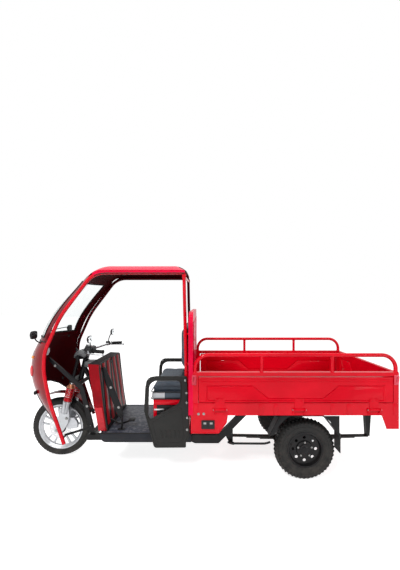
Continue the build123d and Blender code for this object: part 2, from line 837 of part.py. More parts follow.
# Bed floor: a folded tray on a frame of sills and cross beams
with BuildPart() as bed_floor:
    add(block((bed_rear_x, -bed_half_width, sill_bottom_z), (bed_front_x, bed_half_width, sill_top_z)))
    inner_x = (bed_rear_x + sill_width, bed_front_x - sill_width)
    beam_count = 6
    beam_width = 60
    pitch = (inner_x[1] - inner_x[0] - beam_width) / (beam_count - 1)
    for row in range(beam_count - 1):
        start = inner_x[0] + beam_width / 2 + row * pitch
        add(block(
            (start + beam_width / 2, -bed_half_width + sill_width, sill_bottom_z - 1),
            (start + pitch - beam_width / 2, bed_half_width - sill_width, sill_top_z - floor_plate),
        ), mode=Mode.SUBTRACT)
save(bed_floor, "bed_floor")

# Headboard in front of the bed, taller than the sides
headboard_thick = 40
headboard_top_z = 1542
with BuildPart() as headboard:
    with BuildSketch(Plane.YZ.offset(bed_front_x)):
        with BuildLine():
            corner = 130
            FilletPolyline(
                (-bed_half_width, sill_bottom_z), (-bed_half_width, headboard_top_z),
                (bed_half_width, headboard_top_z), (bed_half_width, sill_bottom_z), radius=corner,
            )
            Line((bed_half_width, sill_bottom_z), (-bed_half_width, sill_bottom_z))
        make_face()
    extrude(amount=headboard_thick)
save(headboard, "headboard")

# Side rails: end posts, the fixed top bar and the guard rail above it
short_post_x = (-569, -1190)
post_rear_x = bed_rear_x + post_width
rail_mid_y = bed_half_width - top_bar_width / 2
for side, name in ((1, "left"), (-1, "right")):
    y_low = min(side * bed_half_width, side * (bed_half_width - top_bar_width))
    y_high = max(side * bed_half_width, side * (bed_half_width - top_bar_width))
    with BuildPart() as side_rail:
        for x in (bed_front_x - post_width, bed_rear_x):
            add(block((x, y_low, sill_top_z), (x + post_width, y_high, top_bar_z + top_bar_height)))
        add(block((bed_rear_x, y_low, top_bar_z), (bed_front_x, y_high, top_bar_z + top_bar_height)))
        y = side * rail_mid_y
        add(bent_tube(
            [
                (bed_front_x - guard_tube_radius, y, top_bar_z + 10), (bed_front_x - guard_tube_radius, y, guard_rail_z),
                (bed_rear_x + guard_tube_radius, y, guard_rail_z), (bed_rear_x + guard_tube_radius, y, top_bar_z + 10),
            ],
            [guard_bend, guard_bend], guard_tube_radius,
        ))
        for x in short_post_x:
            add(straight_bar((x, y, top_bar_z + 10), (x, y, guard_rail_z), 15))
    save(side_rail, f"side_rail_{name}")

# Drop boards: pressed panels on strap hinges outside the sills
hinge_x = (-200, -892, -1548)
strap_half = 40
knuckle_radius = 9
panel_top_z = top_bar_z - 9
panel_low_z = sill_top_z + 5
press_depth = 8
press_end = 65
press_low = 8
press_high = 72
press_bend_z = 38
axis_y = bed_half_width + hinge_axis_out


def drop_board(length, hinge_places, height_low, height_high):
    """A board along X at y = 0, its outer face at y = 0 and its hinges outside."""
    ends = length / 2 - press_end
    pressing = (
        (-ends, height_low + press_low), (-ends, height_high - press_high), (-length * 0.22, height_high - press_high),
        (-length * 0.14, height_low + press_bend_z), (length * 0.14, height_low + press_bend_z),
        (length * 0.22, height_high - press_high), (ends, height_high - press_high), (ends, height_low + press_low),
    )
    outside = Plane.XZ
    inside = Plane(origin=(0, -panel_thickness, 0), x_dir=(-1, 0, 0), z_dir=(0, 1, 0))
    with BuildPart() as board:
        add(block((-length / 2, -panel_thickness, height_low), (length / 2, 0, height_high)))
        for face in (outside, inside):
            with BuildSketch(face):
                with BuildLine():
                    Polyline(*pressing, close=True)
                make_face()
            extrude(amount=press_depth, taper=50, mode=Mode.SUBTRACT)
        for x in hinge_places:
            add(block((x - strap_half, -press_depth, height_low), (x + strap_half, 5, height_low + 34)))
            add(block((x - strap_half, 1, hinge_axis_z), (x + strap_half, 5, height_low)))
            add(straight_bar(
                (x - strap_half, hinge_axis_out, hinge_axis_z), (x + strap_half, hinge_axis_out, hinge_axis_z), knuckle_radius,
            ))
            add(straight_bar(
                (x - strap_half - 1, hinge_axis_out, hinge_axis_z), (x + strap_half + 1, hinge_axis_out, hinge_axis_z),
                hinge_pin_radius + running_gap,
            ), mode=Mode.SUBTRACT)
    return board.part


def hinge_pins(hinge_places):
    """The fixed half of each hinge: a pin between two ears on a leaf, outer face at y = 0."""
    with BuildPart() as pins:
        for x in hinge_places:
            add(straight_bar(
                (x - strap_half - 16, hinge_axis_out, hinge_axis_z), (x + strap_half + 16, hinge_axis_out, hinge_axis_z),
                hinge_pin_radius,
            ))
            for end in (-1, 1):
                ear = x + end * (strap_half + 10.5)
                add(straight_bar(
                    (ear - 6, hinge_axis_out, hinge_axis_z), (ear + 6, hinge_axis_out, hinge_axis_z), knuckle_radius,
                ))
                add(block((ear - 6, 0, hinge_axis_z - 30), (ear + 6, hinge_axis_out, hinge_axis_z + 9)))
            add(block((x - strap_half - 16, 0, hinge_axis_z - 46), (x + strap_half + 16, 4, hinge_axis_z - 28)))
    return pins.part


bed_middle_x = (bed_front_x + bed_rear_x) / 2
board_length = bed_length - 2 * (post_width + panel_end_gap)
side_places = [x - bed_middle_x for x in hinge_x]
gate_length = 2 * (bed_half_width - top_bar_width - panel_end_gap)
gate_places = [-380, 380]
board_table = (
    # name, length, hinge places, turn about Z, place of the outer face
    ("side_board_left", board_length, side_places, 0, (bed_middle_x, bed_half_width, 0)),
    ("side_board_right", board_length, [-x for x in side_places], 180, (bed_middle_x, -bed_half_width, 0)),
    ("tailgate", gate_length, gate_places, 90, (bed_rear_x, 0, 0)),
)
for name, length, places, turn, spot in board_table:
    with BuildPart() as board:
        top = panel_top_z if name != "tailgate" else top_bar_z + top_bar_height
        add(drop_board(length, places, panel_low_z, top).rotate(Axis.Z, turn).moved(Location(spot)))
    save(board, name)

with BuildPart() as hinge_leaves:
    for name, length, places, turn, spot in board_table:
        add(hinge_pins(places).rotate(Axis.Z, turn).moved(Location(spot)))
save(hinge_leaves, "hinge_leaves")

# Front skirts under the bed, mudguards, flaps and the tail
with BuildPart() as front_skirts:
    for side in (1, -1):
        skirt = (
            (bed_front_x + 19, 479), (bed_front_x - 227, 479), (bed_front_x - 297, 576),
            (bed_front_x - 305, sill_bottom_z), (bed_front_x + 19, sill_bottom_z),
        )
        inner_y = side * (bed_half_width - 8)
        outer_y = side * bed_half_width
        add(side_plate(skirt, min(inner_y, outer_y), max(inner_y, outer_y)))
save(front_skirts, "front_skirts")

mudguard_top_z = 600
mudguard_inner_y = 385
mudguard_outer_y = 510
mudguard_path = (
    (rear_axle_x + 334, 415), (rear_axle_x + 241, mudguard_top_z),
    (rear_axle_x - 164, mudguard_top_z), (rear_axle_x - 304, 425),
)
with BuildPart() as mudguards:
    for side in (1, -1):
        y_low = min(side * mudguard_inner_y, side * mudguard_outer_y)
        y_high = max(side * mudguard_inner_y, side * mudguard_outer_y)
        rear_x = mudguard_path[-1][0]
        inside = [(x + 4 if x == rear_x else x, z - 5) for x, z in reversed(mudguard_path)]
        add(side_plate(list(mudguard_path) + inside, y_low, y_high))
        for x in (rear_axle_x + 200, rear_axle_x - 110):
            bracket_low = side * (rail_y + rail_width / 2)
            bracket_high = side * (mudguard_inner_y + 60)
            add(block(
                (x - 18, min(bracket_low, bracket_high), mudguard_top_z - 3),
                (x + 18, max(bracket_low, bracket_high), mudguard_top_z + 5),
            ))
save(mudguards, "mudguards")

with BuildPart() as mud_flaps:
    for side in (1, -1):
        y_low = min(side * mudguard_inner_y, side * mudguard_outer_y)
        y_high = max(side * mudguard_inner_y, side * mudguard_outer_y)
        flap_x = rear_axle_x - 304.3
        add(block((flap_x - 6, y_low, 262), (flap_x, y_high, 440)))
save(mud_flaps, "mud_flaps")

pad_proud = 3
with BuildPart() as tail_panel:
    bracket = (
        (bed_rear_x + 149, sill_bottom_z), (bed_rear_x + 107, 519), (bed_rear_x, 519), (bed_rear_x, sill_bottom_z),
    )
    for side in (1, -1):
        inner_y = side * (bed_half_width - 6)
        outer_y = side * bed_half_width
        add(side_plate(bracket, min(inner_y, outer_y), max(inner_y, outer_y)))
    add(block((bed_rear_x, -bed_half_width, 540), (bed_rear_x + 4, bed_half_width, sill_bottom_z)))
    add(block((bed_rear_x - pad_proud, -165, 546), (bed_rear_x + 2, 165, 632)))
save(tail_panel, "tail_panel")

with BuildPart() as tail_lamps:
    for side in (1, -1):
        add(block((bed_rear_x - 7, side * 470 - 70, 556), (bed_rear_x, side * 470 + 70, 622)))
save(tail_lamps, "tail_lamps")
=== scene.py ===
from functools import partialmethod
from math import atan2, cos, pi, radians, sin, tan

import bpy
from mathutils import Matrix, Vector


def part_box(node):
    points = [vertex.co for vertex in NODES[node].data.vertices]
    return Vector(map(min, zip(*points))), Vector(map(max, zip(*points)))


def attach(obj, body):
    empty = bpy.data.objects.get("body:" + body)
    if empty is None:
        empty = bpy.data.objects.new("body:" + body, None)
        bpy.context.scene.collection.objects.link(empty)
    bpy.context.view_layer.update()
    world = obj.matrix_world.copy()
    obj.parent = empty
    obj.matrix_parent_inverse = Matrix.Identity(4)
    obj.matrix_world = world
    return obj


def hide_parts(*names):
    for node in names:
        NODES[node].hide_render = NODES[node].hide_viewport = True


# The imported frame, and its own box before anything is dressed.
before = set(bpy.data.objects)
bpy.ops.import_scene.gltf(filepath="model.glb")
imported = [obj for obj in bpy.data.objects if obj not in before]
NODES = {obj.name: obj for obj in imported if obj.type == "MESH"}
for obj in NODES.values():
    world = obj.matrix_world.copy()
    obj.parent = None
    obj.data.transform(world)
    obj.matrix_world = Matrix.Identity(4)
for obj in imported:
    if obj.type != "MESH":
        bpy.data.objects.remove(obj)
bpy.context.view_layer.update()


# The view: a level camera beside the left side, at a standing person's eye height, slid a little to take
# in the whole machine. It stands on a pale floor under three broad soft lamps and a white sky.
scene = bpy.context.scene
scene.view_settings.view_transform = "Standard"
CAMERA_PLACE = (-0.062, 3.27, 1.64)
FRAME_WIDE, FRAME_TALL = 400, 570
FOCAL_PIXELS = 305
VANISH_X, HORIZON_Y = 204.2, 301
SENSOR = 36
eye = bpy.data.cameras.new("eye")
eye.sensor_width = SENSOR
eye.lens = FOCAL_PIXELS / FRAME_TALL * SENSOR
eye.shift_x = -(VANISH_X - FRAME_WIDE / 2) / FRAME_TALL
eye.shift_y = (HORIZON_Y - FRAME_TALL / 2) / FRAME_TALL
camera = bpy.data.objects.new("camera", eye)
scene.collection.objects.link(camera)
camera.location = CAMERA_PLACE
camera.rotation_euler = (radians(90), 0, radians(180))
scene.camera = camera


class Wire:
    """One output of a material's node; Python's operators on it add Math nodes."""

    def __init__(self, paint, socket):
        self.paint = paint
        self.socket = socket

    def math(self, operation, other=0.0, swap=False):
        first, second = (other, self) if swap else (self, other)
        return self.paint.node("Math", {"operation": operation}, {0: first, 1: second})

    def clipped(self):
        return self.math("MINIMUM", 1.0).math("MAXIMUM", 0.0)

    def sine(self):
        return self.math("SINE")

    def size(self):
        return self.math("ABSOLUTE")


OPERATORS = (
    # method, Math operation, operands swapped
    ("add", "ADD", False), ("radd", "ADD", False), ("sub", "SUBTRACT", False), ("rsub", "SUBTRACT", True),
    ("mul", "MULTIPLY", False), ("rmul", "MULTIPLY", False), ("truediv", "DIVIDE", False),
    ("gt", "GREATER_THAN", False), ("lt", "LESS_THAN", False),
)
for method, operation, swapped in OPERATORS:
    setattr(Wire, f"__{method}__", partialmethod(Wire.math, operation, swap=swapped))


class Paint:
    def __init__(self, name):
        self.material = bpy.data.materials.new(name)
        self.material.use_nodes = True
        self.tree = self.material.node_tree
        self.tree.nodes.clear()
        self.place = self.node("TexCoord", output="Object")

    def node(self, kind, settings=None, sockets=None, output=0):
        made = self.tree.nodes.new("ShaderNode" + kind)
        for key, value in (settings or {}).items():
            if key == "stops":
                stops = made.color_ramp.elements
                while len(stops) < len(value):
                    stops.new(0.5)
                for stop, (spot, colour) in zip(stops, value):
                    stop.position = spot
                    stop.color = (*colour, 1) if isinstance(colour, tuple) else (colour, colour, colour, 1)
            else:
                setattr(made, key, value)
        for key, value in (sockets or {}).items():
            if isinstance(value, Wire):
                self.tree.links.new(value.socket, made.inputs[key])
            elif value is not None:
                colour_socket = made.inputs[key].type == "RGBA"
                made.inputs[key].default_value = (*value, 1) if colour_socket and len(value) == 3 else value
        if isinstance(output, tuple):
            return [Wire(self, made.outputs[name]) for name in output]
        return Wire(self, made.outputs[output]) if made.outputs else None

    def axes(self, place=None):
        return self.node("SeparateXYZ", None, {0: place or self.place}, output=("X", "Y", "Z"))

    def noise(self, scale, detail=3.0, rough=0.55, stretch=None):
        where = self.place
        if stretch:
            where = self.node("Mapping", None, {"Vector": where, "Scale": stretch})
        return self.node(
            "TexNoise", None, {"Vector": where, "Scale": scale, "Detail": detail, "Roughness": rough},
        )

    def ramp(self, factor, *stops):
        return self.node("ValToRGB", {"stops": stops}, {0: factor})

    def mix(self, factor, first, second):
        return self.node("Mix", {"data_type": "RGBA"}, {0: factor, 6: first, 7: second}, output=2)

    def bump(self, height, distance, strength=1.0, normal=None):
        return self.node(
            "Bump", None, {"Strength": strength, "Distance": distance, "Height": height, "Normal": normal},
        )

    def dust(self, colour, amount, top=0.75):
        """The colour under road dust that thins out from the floor up to a height."""
        height = self.axes()[2]
        low = ((top - height) / top).clipped()
        veil = low * (self.noise(14, 6, 0.7) - 0.35).clipped() * amount
        return self.mix(veil.clipped(), colour, (0.36, 0.31, 0.26))

    def finish(self, **sockets):
        shader = self.node(
            "BsdfPrincipled", None, {key.replace("_", " "): value for key, value in sockets.items()},
        )
        self.node("OutputMaterial", None, {"Surface": shader})
        return self.material


def white_to_the_view(paint):
    """1 where the camera, a mirror or glass looks straight at the surface, and 0 for its light."""
    camera_ray, mirror_ray, glass_ray = paint.node(
        "LightPath", output=("Is Camera Ray", "Is Glossy Ray", "Is Transmission Ray"),
    )
    return (camera_ray + mirror_ray + glass_ray).clipped()


bpy.ops.object.select_all(action="DESELECT")
bpy.ops.mesh.primitive_plane_add(size=60, location=(0, 0, -0.0005))
floor = bpy.context.object
floor.name = "floor"
pale = Paint("floor_white")
floor.data.materials.append(pale.finish(
    Base_Color=(0.86, 0.86, 0.86), Roughness=0.9, Specular_IOR_Level=0.0,
    Emission_Color=pale.mix(white_to_the_view(pale), (0, 0, 0), (0.78, 0.78, 0.78)), Emission_Strength=1.0,
))

world = bpy.data.worlds.new("sky")
scene.world = world
world.use_nodes = True
SKY_LIGHT = 0.36
sky = Paint("sky_nodes")
sky.tree = world.node_tree
sky.tree.nodes.clear()
glow = sky.node("Background", None, {"Strength": white_to_the_view(sky) * (1 - SKY_LIGHT) + SKY_LIGHT})
sky.node("OutputWorld", None, {"Surface": glow})
sky.tree.nodes["Background"].inputs["Color"].default_value = (1, 1, 1, 1)

LAMPS = (
    # name, place, aim, size, watts
    ("key", (1.8, 4.4, 5.0), (0.1, 0, 0.7), 1.6, 270),
    ("fill", (-4.2, 3.8, 2.2), (-0.8, 0, 0.6), 2.4, 60),
    ("top", (0.0, -0.6, 5.2), (0, 0, 0.8), 3.6, 120),
)
for name, place, aim, size, watts in LAMPS:
    lamp = bpy.data.lights.new(name, "AREA")
    lamp.energy = watts
    lamp.size = size
    stand = bpy.data.objects.new(name, lamp)
    scene.collection.objects.link(stand)
    stand.location = place
    stand.rotation_euler = (Vector(aim) - Vector(place)).to_track_quat("-Z", "Y").to_euler()


# Chassis: box-section rails kicked up behind the cab, cross members, the neck and the cab's long struts,
# all welded mild steel dipped in satin black enamel, dusty low down.
def black_enamel(name, colour=(0.006, 0.006, 0.007), rough=0.34):
    paint = Paint(name)
    scuff = paint.ramp(paint.noise(46, 8, 0.7), (0.62, 0.0), (0.72, 1.0))
    base = paint.mix(scuff * 0.08, colour, (0.10, 0.10, 0.10))
    grain = paint.noise(260, 3)
    return paint.finish(
        Base_Color=paint.dust(base, 0.10), Roughness=rough + 0.16 * paint.noise(9, 5), Coat_Weight=0.06,
        Coat_Roughness=0.2, Specular_IOR_Level=0.14, Normal=paint.bump(grain, 0.0003, 0.3),
    )


def dress(material, *names):
    """Gives one material to CAD nodes, whose shapes stay."""
    for name in names:
        slots = NODES[name].data.materials
        slots.clear()
        slots.append(material)


def pick(*pieces):
    """Selects just these pieces, the first one active."""
    bpy.ops.object.select_all(action="DESELECT")
    for piece in pieces:
        piece.select_set(True)
    bpy.context.view_layer.objects.active = pieces[0]


def start(kind, name, **sizes):
    """Adds one of Blender's primitives with nothing else selected, and names it."""
    bpy.ops.object.select_all(action="DESELECT")
    getattr(bpy.ops.mesh, f"primitive_{kind}_add")(**sizes)
    piece = bpy.context.object
    piece.name = name
    piece.data.name = name
    return piece


def settle(piece):
    """Moves a piece's place, turn and size into its mesh."""
    pick(piece)
    bpy.ops.object.transform_apply(location=True, rotation=True, scale=True)
    return piece


def shaped(piece, kind, **settings):
    """Adds a modifier with its settings to a piece, and applies it."""
    pick(piece)
    bpy.ops.object.modifier_add(type=kind)
    modifier = piece.modifiers[-1]
    for key, value in settings.items():
        setattr(modifier, key, value)
    bpy.ops.object.modifier_apply(modifier=modifier.name)


def soften(piece, width=0.002, steps=2, angle=35):
    """Rounds a piece's sharp edges and shades it smooth between them."""
    if width:
        shaped(piece, "BEVEL", width=width, segments=steps, limit_method="ANGLE", angle_limit=radians(angle))
    pick(piece)
    bpy.ops.object.shade_smooth_by_angle(angle=radians(angle + 5))
    return piece


def edited(piece, *steps):
    """Runs mesh operators one by one on all of a piece, then turns its faces outwards."""
    pick(piece)
    bpy.ops.object.mode_set(mode="EDIT")
    for step, settings in steps:
        bpy.ops.mesh.select_all(action="SELECT")
        getattr(bpy.ops.mesh, step)(**settings)
    bpy.ops.mesh.select_all(action="SELECT")
    bpy.ops.mesh.normals_make_consistent(inside=False)
    bpy.ops.object.mode_set(mode="OBJECT")
    return piece


def slab(name, low, high, soft=0.002):
    """A bevelled bar or plate between two opposite corners."""
    piece = start("cube", name, size=1)
    piece.scale = [b - a for a, b in zip(low, high)]
    piece.location = [(a + b) / 2 for a, b in zip(low, high)]
    return soften(settle(piece), soft)


def rod(name, foot, head, radius, sides=20, soft=0.0, head_radius=None):
    """A round bar between two points, with its ends' rims rounded if soft is given."""
    foot, head = Vector(foot), Vector(head)
    along = head - foot
    piece = start(
        "cone", name, vertices=sides, radius1=radius, depth=along.length,
        radius2=radius if head_radius is None else head_radius,
    )
    piece.rotation_euler = along.to_track_quat("Z", "Y").to_euler()
    piece.location = (foot + head) / 2
    return soften(settle(piece), soft)


def plate(name, outline, at, thick, axis="Y", soft=0.0015):
    """A flat plate square to an axis, cut to an outline and given its thickness by an extrusion."""
    piece = start("circle", name, vertices=len(outline), fill_type="NGON")
    step = {"X": (thick, 0, 0), "Y": (0, thick, 0), "Z": (0, 0, thick)}[axis]
    for corner, (u, v) in zip(piece.data.vertices, outline):
        corner.co = {"X": (at, u, v), "Y": (u, at, v), "Z": (u, v, at)}[axis]
    return soften(edited(piece, ("extrude_region_move", {"TRANSFORM_OT_translate": {"value": step}})), soft)


def ball(name, middle, sizes):
    """A smooth ellipsoid with the given half sizes."""
    piece = start("uv_sphere", name, segments=32, ring_count=16, radius=1)
    piece.scale = sizes
    piece.location = middle
    settle(piece)
    bpy.ops.object.shade_smooth()
    return piece


def merged(name, *pieces):
    """Several shapes joined as one piece."""
    pick(*pieces)
    bpy.ops.object.join()
    bpy.context.object.name = name
    bpy.context.object.data.name = name
    return bpy.context.object


def fit(piece, material, body, slot=None, *stands_for):
    """Gives a finished piece its material, the body it rides on and the solids it stands for."""
    piece.data.materials.clear()
    piece.data.materials.append(material)
    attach(piece, body)
    if stands_for:
        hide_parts(*stands_for)
    return piece


def twin(piece, name):
    """The same piece on the other side of the vehicle, with a mesh of its own."""
    other = piece.copy()
    other.data = piece.data.copy()
    other.name = name
    other.data.name = name
    scene.collection.objects.link(other)
    other.data.transform(Matrix.Scale(-1, 4, (0, 1, 0)))
    return edited(other)


def both(piece, material, body, slot=None, *stands_for):
    """Fits a left-hand piece, which stands for the solids named, and its twin on the right."""
    fit(piece, material, body, slot, *stands_for)
    other = twin(piece, piece.name.removesuffix("_left") + "_right")
    fit(other, material, body.replace("left", "right"), slot)


def speckled(name, first, second, mottle, rough, grain=None, dusty=None, **rest):
    """A material mottled between two colours, with uneven roughness, and fine grain and dust where given."""
    paint = Paint(name)
    base = paint.mix(paint.noise(*mottle), first, second)
    even, spread, *fineness = rough
    if dusty:
        base = paint.dust(base, *dusty)
    if grain:
        scale, detail, deep, strength = grain
        rest["Normal"] = paint.bump(paint.noise(scale, detail), deep, strength)
    return paint.finish(Base_Color=base, Roughness=even + spread * paint.noise(*fineness), **rest)


ENAMEL = black_enamel("black_enamel")
dress(ENAMEL, "frame_rails", "cross_members", "neck_frame", "cab_struts")
ZINC = speckled(
    "zinc_plate", (0.34, 0.34, 0.34), (0.20, 0.20, 0.19), (60, 5), (0.36, 0.2, 200, 2), Metallic=1.0,
)


def bolts(name, places, axis, radius=0.009, proud=0.006):
    """Hexagon heads on washers, each standing on a surface with the axis as its outward normal."""
    heads = []
    axis = Vector(axis)
    for count, place in enumerate(places):
        place = Vector(place)
        washer = rod(
            f"washer_{count}", place - axis * 0.001, place + axis * 0.0015, radius * 1.35, 16, 0.0004,
        )
        head = rod(f"head_{count}", place + axis * 0.001, place + axis * proud, radius, 6, 0.0008)
        heads += [washer, head]
    return merged(name, *heads)


STRUT_FACE = 0.312
strut_bolts = bolts(
    "strut_bolts", [(1.385, STRUT_FACE, 1.012), (1.075, STRUT_FACE, 0.62), (1.04, STRUT_FACE, 0.42)],
    (0, 1, 0),
)
both(strut_bolts, ZINC, "chassis")

# Rear springs and axle: cambered leaf packs clamped to the axle tube by bent U-bolts, with the motor and
# differential casings cast in one and the brake drums outside, all sprayed black.
SPRING_STEEL = black_enamel("spring_steel", (0.014, 0.013, 0.012), 0.45)
CASTING = black_enamel("black_casting", (0.014, 0.014, 0.015), 0.5)
dress(SPRING_STEEL, "leaf_springs")
dress(CASTING, "rear_axle")


def corners_of(node):
    """The lowest and highest corners of a node's box."""
    return [Vector(corner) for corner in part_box(node)]


def middle_of(node):
    """The middle of a node's box."""
    return sum(corners_of(node), Vector()) / 2


FRONT_AXLE = middle_of("front_rim")
REAR_AXLE = middle_of("rear_tyre_left")
REAR_AXLE.y = FRONT_AXLE.y = 0


def bent_bar(name, points, radius, corner=0.02, ring=12):
    """A round bar bent by hand: straight runs with rounded corners between the points."""
    line = bpy.data.curves.new(name, "CURVE")
    line.dimensions = "3D"
    run = line.splines.new("BEZIER")
    route = [Vector(p) for p in points]
    stops = [(route[0], route[0], route[0])]
    for before, here, after in zip(route, route[1:], route[2:]):
        back = (before - here).normalized() * min(corner, (before - here).length * 0.45)
        on = (after - here).normalized() * min(corner, (after - here).length * 0.45)
        stops.append((here + back, here + back * 1.45, here + back * 0.45))
        stops.append((here + on, here + on * 0.45, here + on * 1.45))
    stops.append((route[-1], route[-1], route[-1]))
    run.bezier_points.add(len(stops) - 1)
    for point, (co, left, right) in zip(run.bezier_points, stops):
        point.co = co
        point.handle_left_type = point.handle_right_type = "FREE"
        point.handle_left = left
        point.handle_right = right
    line.resolution_u = 8
    line.bevel_depth = radius
    line.bevel_resolution = ring // 4
    line.use_fill_caps = True
    piece = bpy.data.objects.new(name, line)
    scene.collection.objects.link(piece)
    pick(piece)
    bpy.ops.object.convert(target="MESH")
    piece = edited(bpy.context.object, ("remove_doubles", {"threshold": 0.00005}))
    bpy.ops.object.shade_smooth_by_angle(angle=radians(40))
    return piece


def at_width(y, *pairs):
    """Points at one width, from pairs of X and Z."""
    return [(x, y, z) for x, z in pairs]


rods = []
for side in (1, -1):
    rod_y = side * 0.372
    rod_line = at_width(rod_y, (-0.285, 0.300), (-0.330, 0.287), (-0.640, 0.285), (-0.690, 0.300))
    rods.append(bent_bar(f"brake_rod_{side}", rod_line, 0.010, 0.02))
    rods.append(rod(f"brake_fork_{side}", (-0.300, rod_y, 0.297), (-0.345, rod_y, 0.286), 0.014, 16, 0.003))
fit(merged("brake_rods", *rods), CASTING, "chassis", "black_steel")
RAIL_Y = 0.32
clamps = []
for dx in (-0.035, 0.035):
    x = REAR_AXLE.x + dx
    clamps.append(bent_bar(
        f"u_bolt_{dx}",
        [
            (x, RAIL_Y - 0.034, 0.366), (x, RAIL_Y - 0.034, 0.232), (x, RAIL_Y + 0.034, 0.232),
            (x, RAIL_Y + 0.034, 0.366),
        ],
        0.006, 0.03,
    ))
    for dy in (-0.034, 0.034):
        clamps.append(
            rod(f"nut_{dx}_{dy}", (x, RAIL_Y + dy, 0.345), (x, RAIL_Y + dy, 0.357), 0.011, 6, 0.001),
        )
both(merged("u_bolts_left", *clamps), ZINC, "chassis")


# Tyres: black rubber carcasses with a moulded tread: blocks and shoulder lugs at the rear, three rain
# grooves at the front. They are pressed over their rims and worn grey where they meet the road.
def rubber(name, worn):
    return speckled(
        name, (0.006, 0.006, 0.006), (0.016, 0.016, 0.016), (90, 6, 0.7), (0.45, 0.2, 30, 4),
        (500, 3, 0.0004, 0.4),
        (worn, 0.6), Specular_IOR_Level=0.2,
    )


TREAD = rubber("tyre_rubber", 0.30)


def lathe(name, profile, centre, steps=64):
    """A ring turned about the axle through a centre, from pairs of width and radius round its section."""
    piece = start("circle", name, vertices=len(profile), fill_type="NOTHING")
    for corner, (width, radius) in zip(piece.data.vertices, profile):
        corner.co = (centre[0], centre[1] + width, centre[2] + radius)
    edited(
        piece, ("spin", {"steps": steps, "angle": 2 * pi, "center": centre, "axis": (0, 1, 0)}),
        ("remove_doubles", {"threshold": 0.00002}),
    )
    bpy.ops.object.shade_smooth_by_angle(angle=radians(38))
    return piece


def ring_of(piece, centre, count):
    """Repeats everything in a piece in a ring about the axle through a centre."""
    turn = 2 * pi * (count - 1) / count
    return edited(
        piece,
        ("spin", {"steps": count - 1, "dupli": True, "angle": turn, "center": centre, "axis": (0, 1, 0)}),
    )


SIDES = ((1, "left"), (-1, "right"))
REAR_WHEEL_Y = middle_of("rear_tyre_left").y
REAR_RADIUS, REAR_BEAD = 0.277, 0.153
LUG_COUNT = 46
carcass_profile = [
    (-0.0375, REAR_BEAD), (-0.0400, 0.158), (-0.0470, 0.168), (-0.0545, 0.186), (-0.0572, 0.205),
    (-0.0563, 0.222), (-0.0536, 0.238), (-0.0462, 0.2545), (-0.0300, 0.2655), (0, 0.2690),
]
carcass_profile += [(-width, radius) for width, radius in reversed(carcass_profile[:-1])]


def lug(name, centre, low, high, turn=0.0, taper=0.8):
    """One tread block at the top of a tyre: its base corner, its top corner, and its twist."""
    size = [b - a for a, b in zip(low, high)]
    block = start("cube", name, size=1)
    block.scale = size
    block.rotation_euler = (0, 0, turn)
    block.location = [c + (a + b) / 2 for c, a, b in zip(centre, low, high)]
    settle(block)
    top = max(corner.co.z for corner in block.data.vertices)
    for corner in block.data.vertices:
        if corner.co.z > top - 0.0001:
            corner.co.x = block_middle(block, 0) + (corner.co.x - block_middle(block, 0)) * taper
    return block


def block_middle(piece, axis):
    """The middle of a piece's mesh along one axis."""
    reach = [corner.co[axis] for corner in piece.data.vertices]
    return (min(reach) + max(reach)) / 2


for side, word in SIDES:
    hub = (REAR_AXLE.x, side * REAR_WHEEL_Y, REAR_AXLE.z)
    carcass = lathe(f"carcass_{word}", carcass_profile, hub, 72)
    blocks = []
    for flip in (1, -1):
        blocks.append(
            lug(
                "middle", hub, (-0.011, flip * 0.003, 0.262), (0.006, flip * 0.021, REAR_RADIUS),
                flip * 0.35,
            ),
        )
        shift = 0.0 if flip > 0 else 0.018
        shoulder = start("cube", "shoulder", size=1)
        shoulder.scale = (0.022, 0.026, 0.010)
        shoulder.rotation_euler = (radians(-flip * 32), 0, radians(flip * 8))
        shoulder.location = (hub[0] + shift, hub[1] + flip * 0.0395, hub[2] + 0.2560)
        blocks.append(settle(shoulder))
        side_bar = start("cube", "side_bar", size=1)
        side_bar.scale = (0.013, 0.005, 0.024)
        side_bar.rotation_euler = (radians(-flip * 14), 0, 0)
        side_bar.location = (hub[0] + shift, hub[1] + flip * 0.0537, hub[2] + 0.2360)
        blocks.append(settle(side_bar))
    tread = soften(ring_of(merged(f"tread_{word}", *blocks), hub, LUG_COUNT), 0.0)
    wall_rings = [
        lathe(f"bead_ring_{word}_{r}", [(w, r), (w + side * 0.0022, r + 0.0012), (w, r + 0.0024)], hub, 72)
        for w, r in ((side * 0.0458, 0.169), (side * 0.0508, 0.178), (side * 0.0562, 0.214))
    ]
    tyre = merged(f"tyre_rear_{word}", carcass, tread, *wall_rings)
    fit(tyre, TREAD, f"rear_wheel_{word}", "tyre", f"rear_tyre_{word}")

front_profile = [
    (-0.0270, 0.229), (-0.0300, 0.233), (-0.0370, 0.243), (-0.0408, 0.258), (-0.0400, 0.272),
    (-0.0345, 0.288), (-0.0260, 0.2975), (-0.0225, 0.3000), (-0.0205, 0.2960), (-0.0175, 0.2965),
    (-0.0155, 0.3030), (-0.0040, 0.3059), (-0.0030, 0.3012), (0, 0.3012),
]
front_profile += [(-width, radius) for width, radius in reversed(front_profile[:-1])]
front_carcass = lathe("front_carcass", front_profile, FRONT_AXLE, 96)
sipes = []
for flip in (1, -1):
    cut = start("cube", "sipe", size=1)
    cut.scale = (0.016, 0.010, 0.006)
    cut.rotation_euler = (radians(-flip * 38), 0, radians(flip * 25))
    cut.location = (FRONT_AXLE.x + (0.008 if flip > 0 else -0.004), flip * 0.0325, FRONT_AXLE.z + 0.2905)
    sipes.append(settle(cut))
shoulder_blocks = soften(ring_of(merged("front_shoulder", *sipes), FRONT_AXLE, 56), 0.0)
fit(merged("tyre_front", front_carcass, shoulder_blocks), TREAD, "front_wheel", "tyre", "front_tyre")

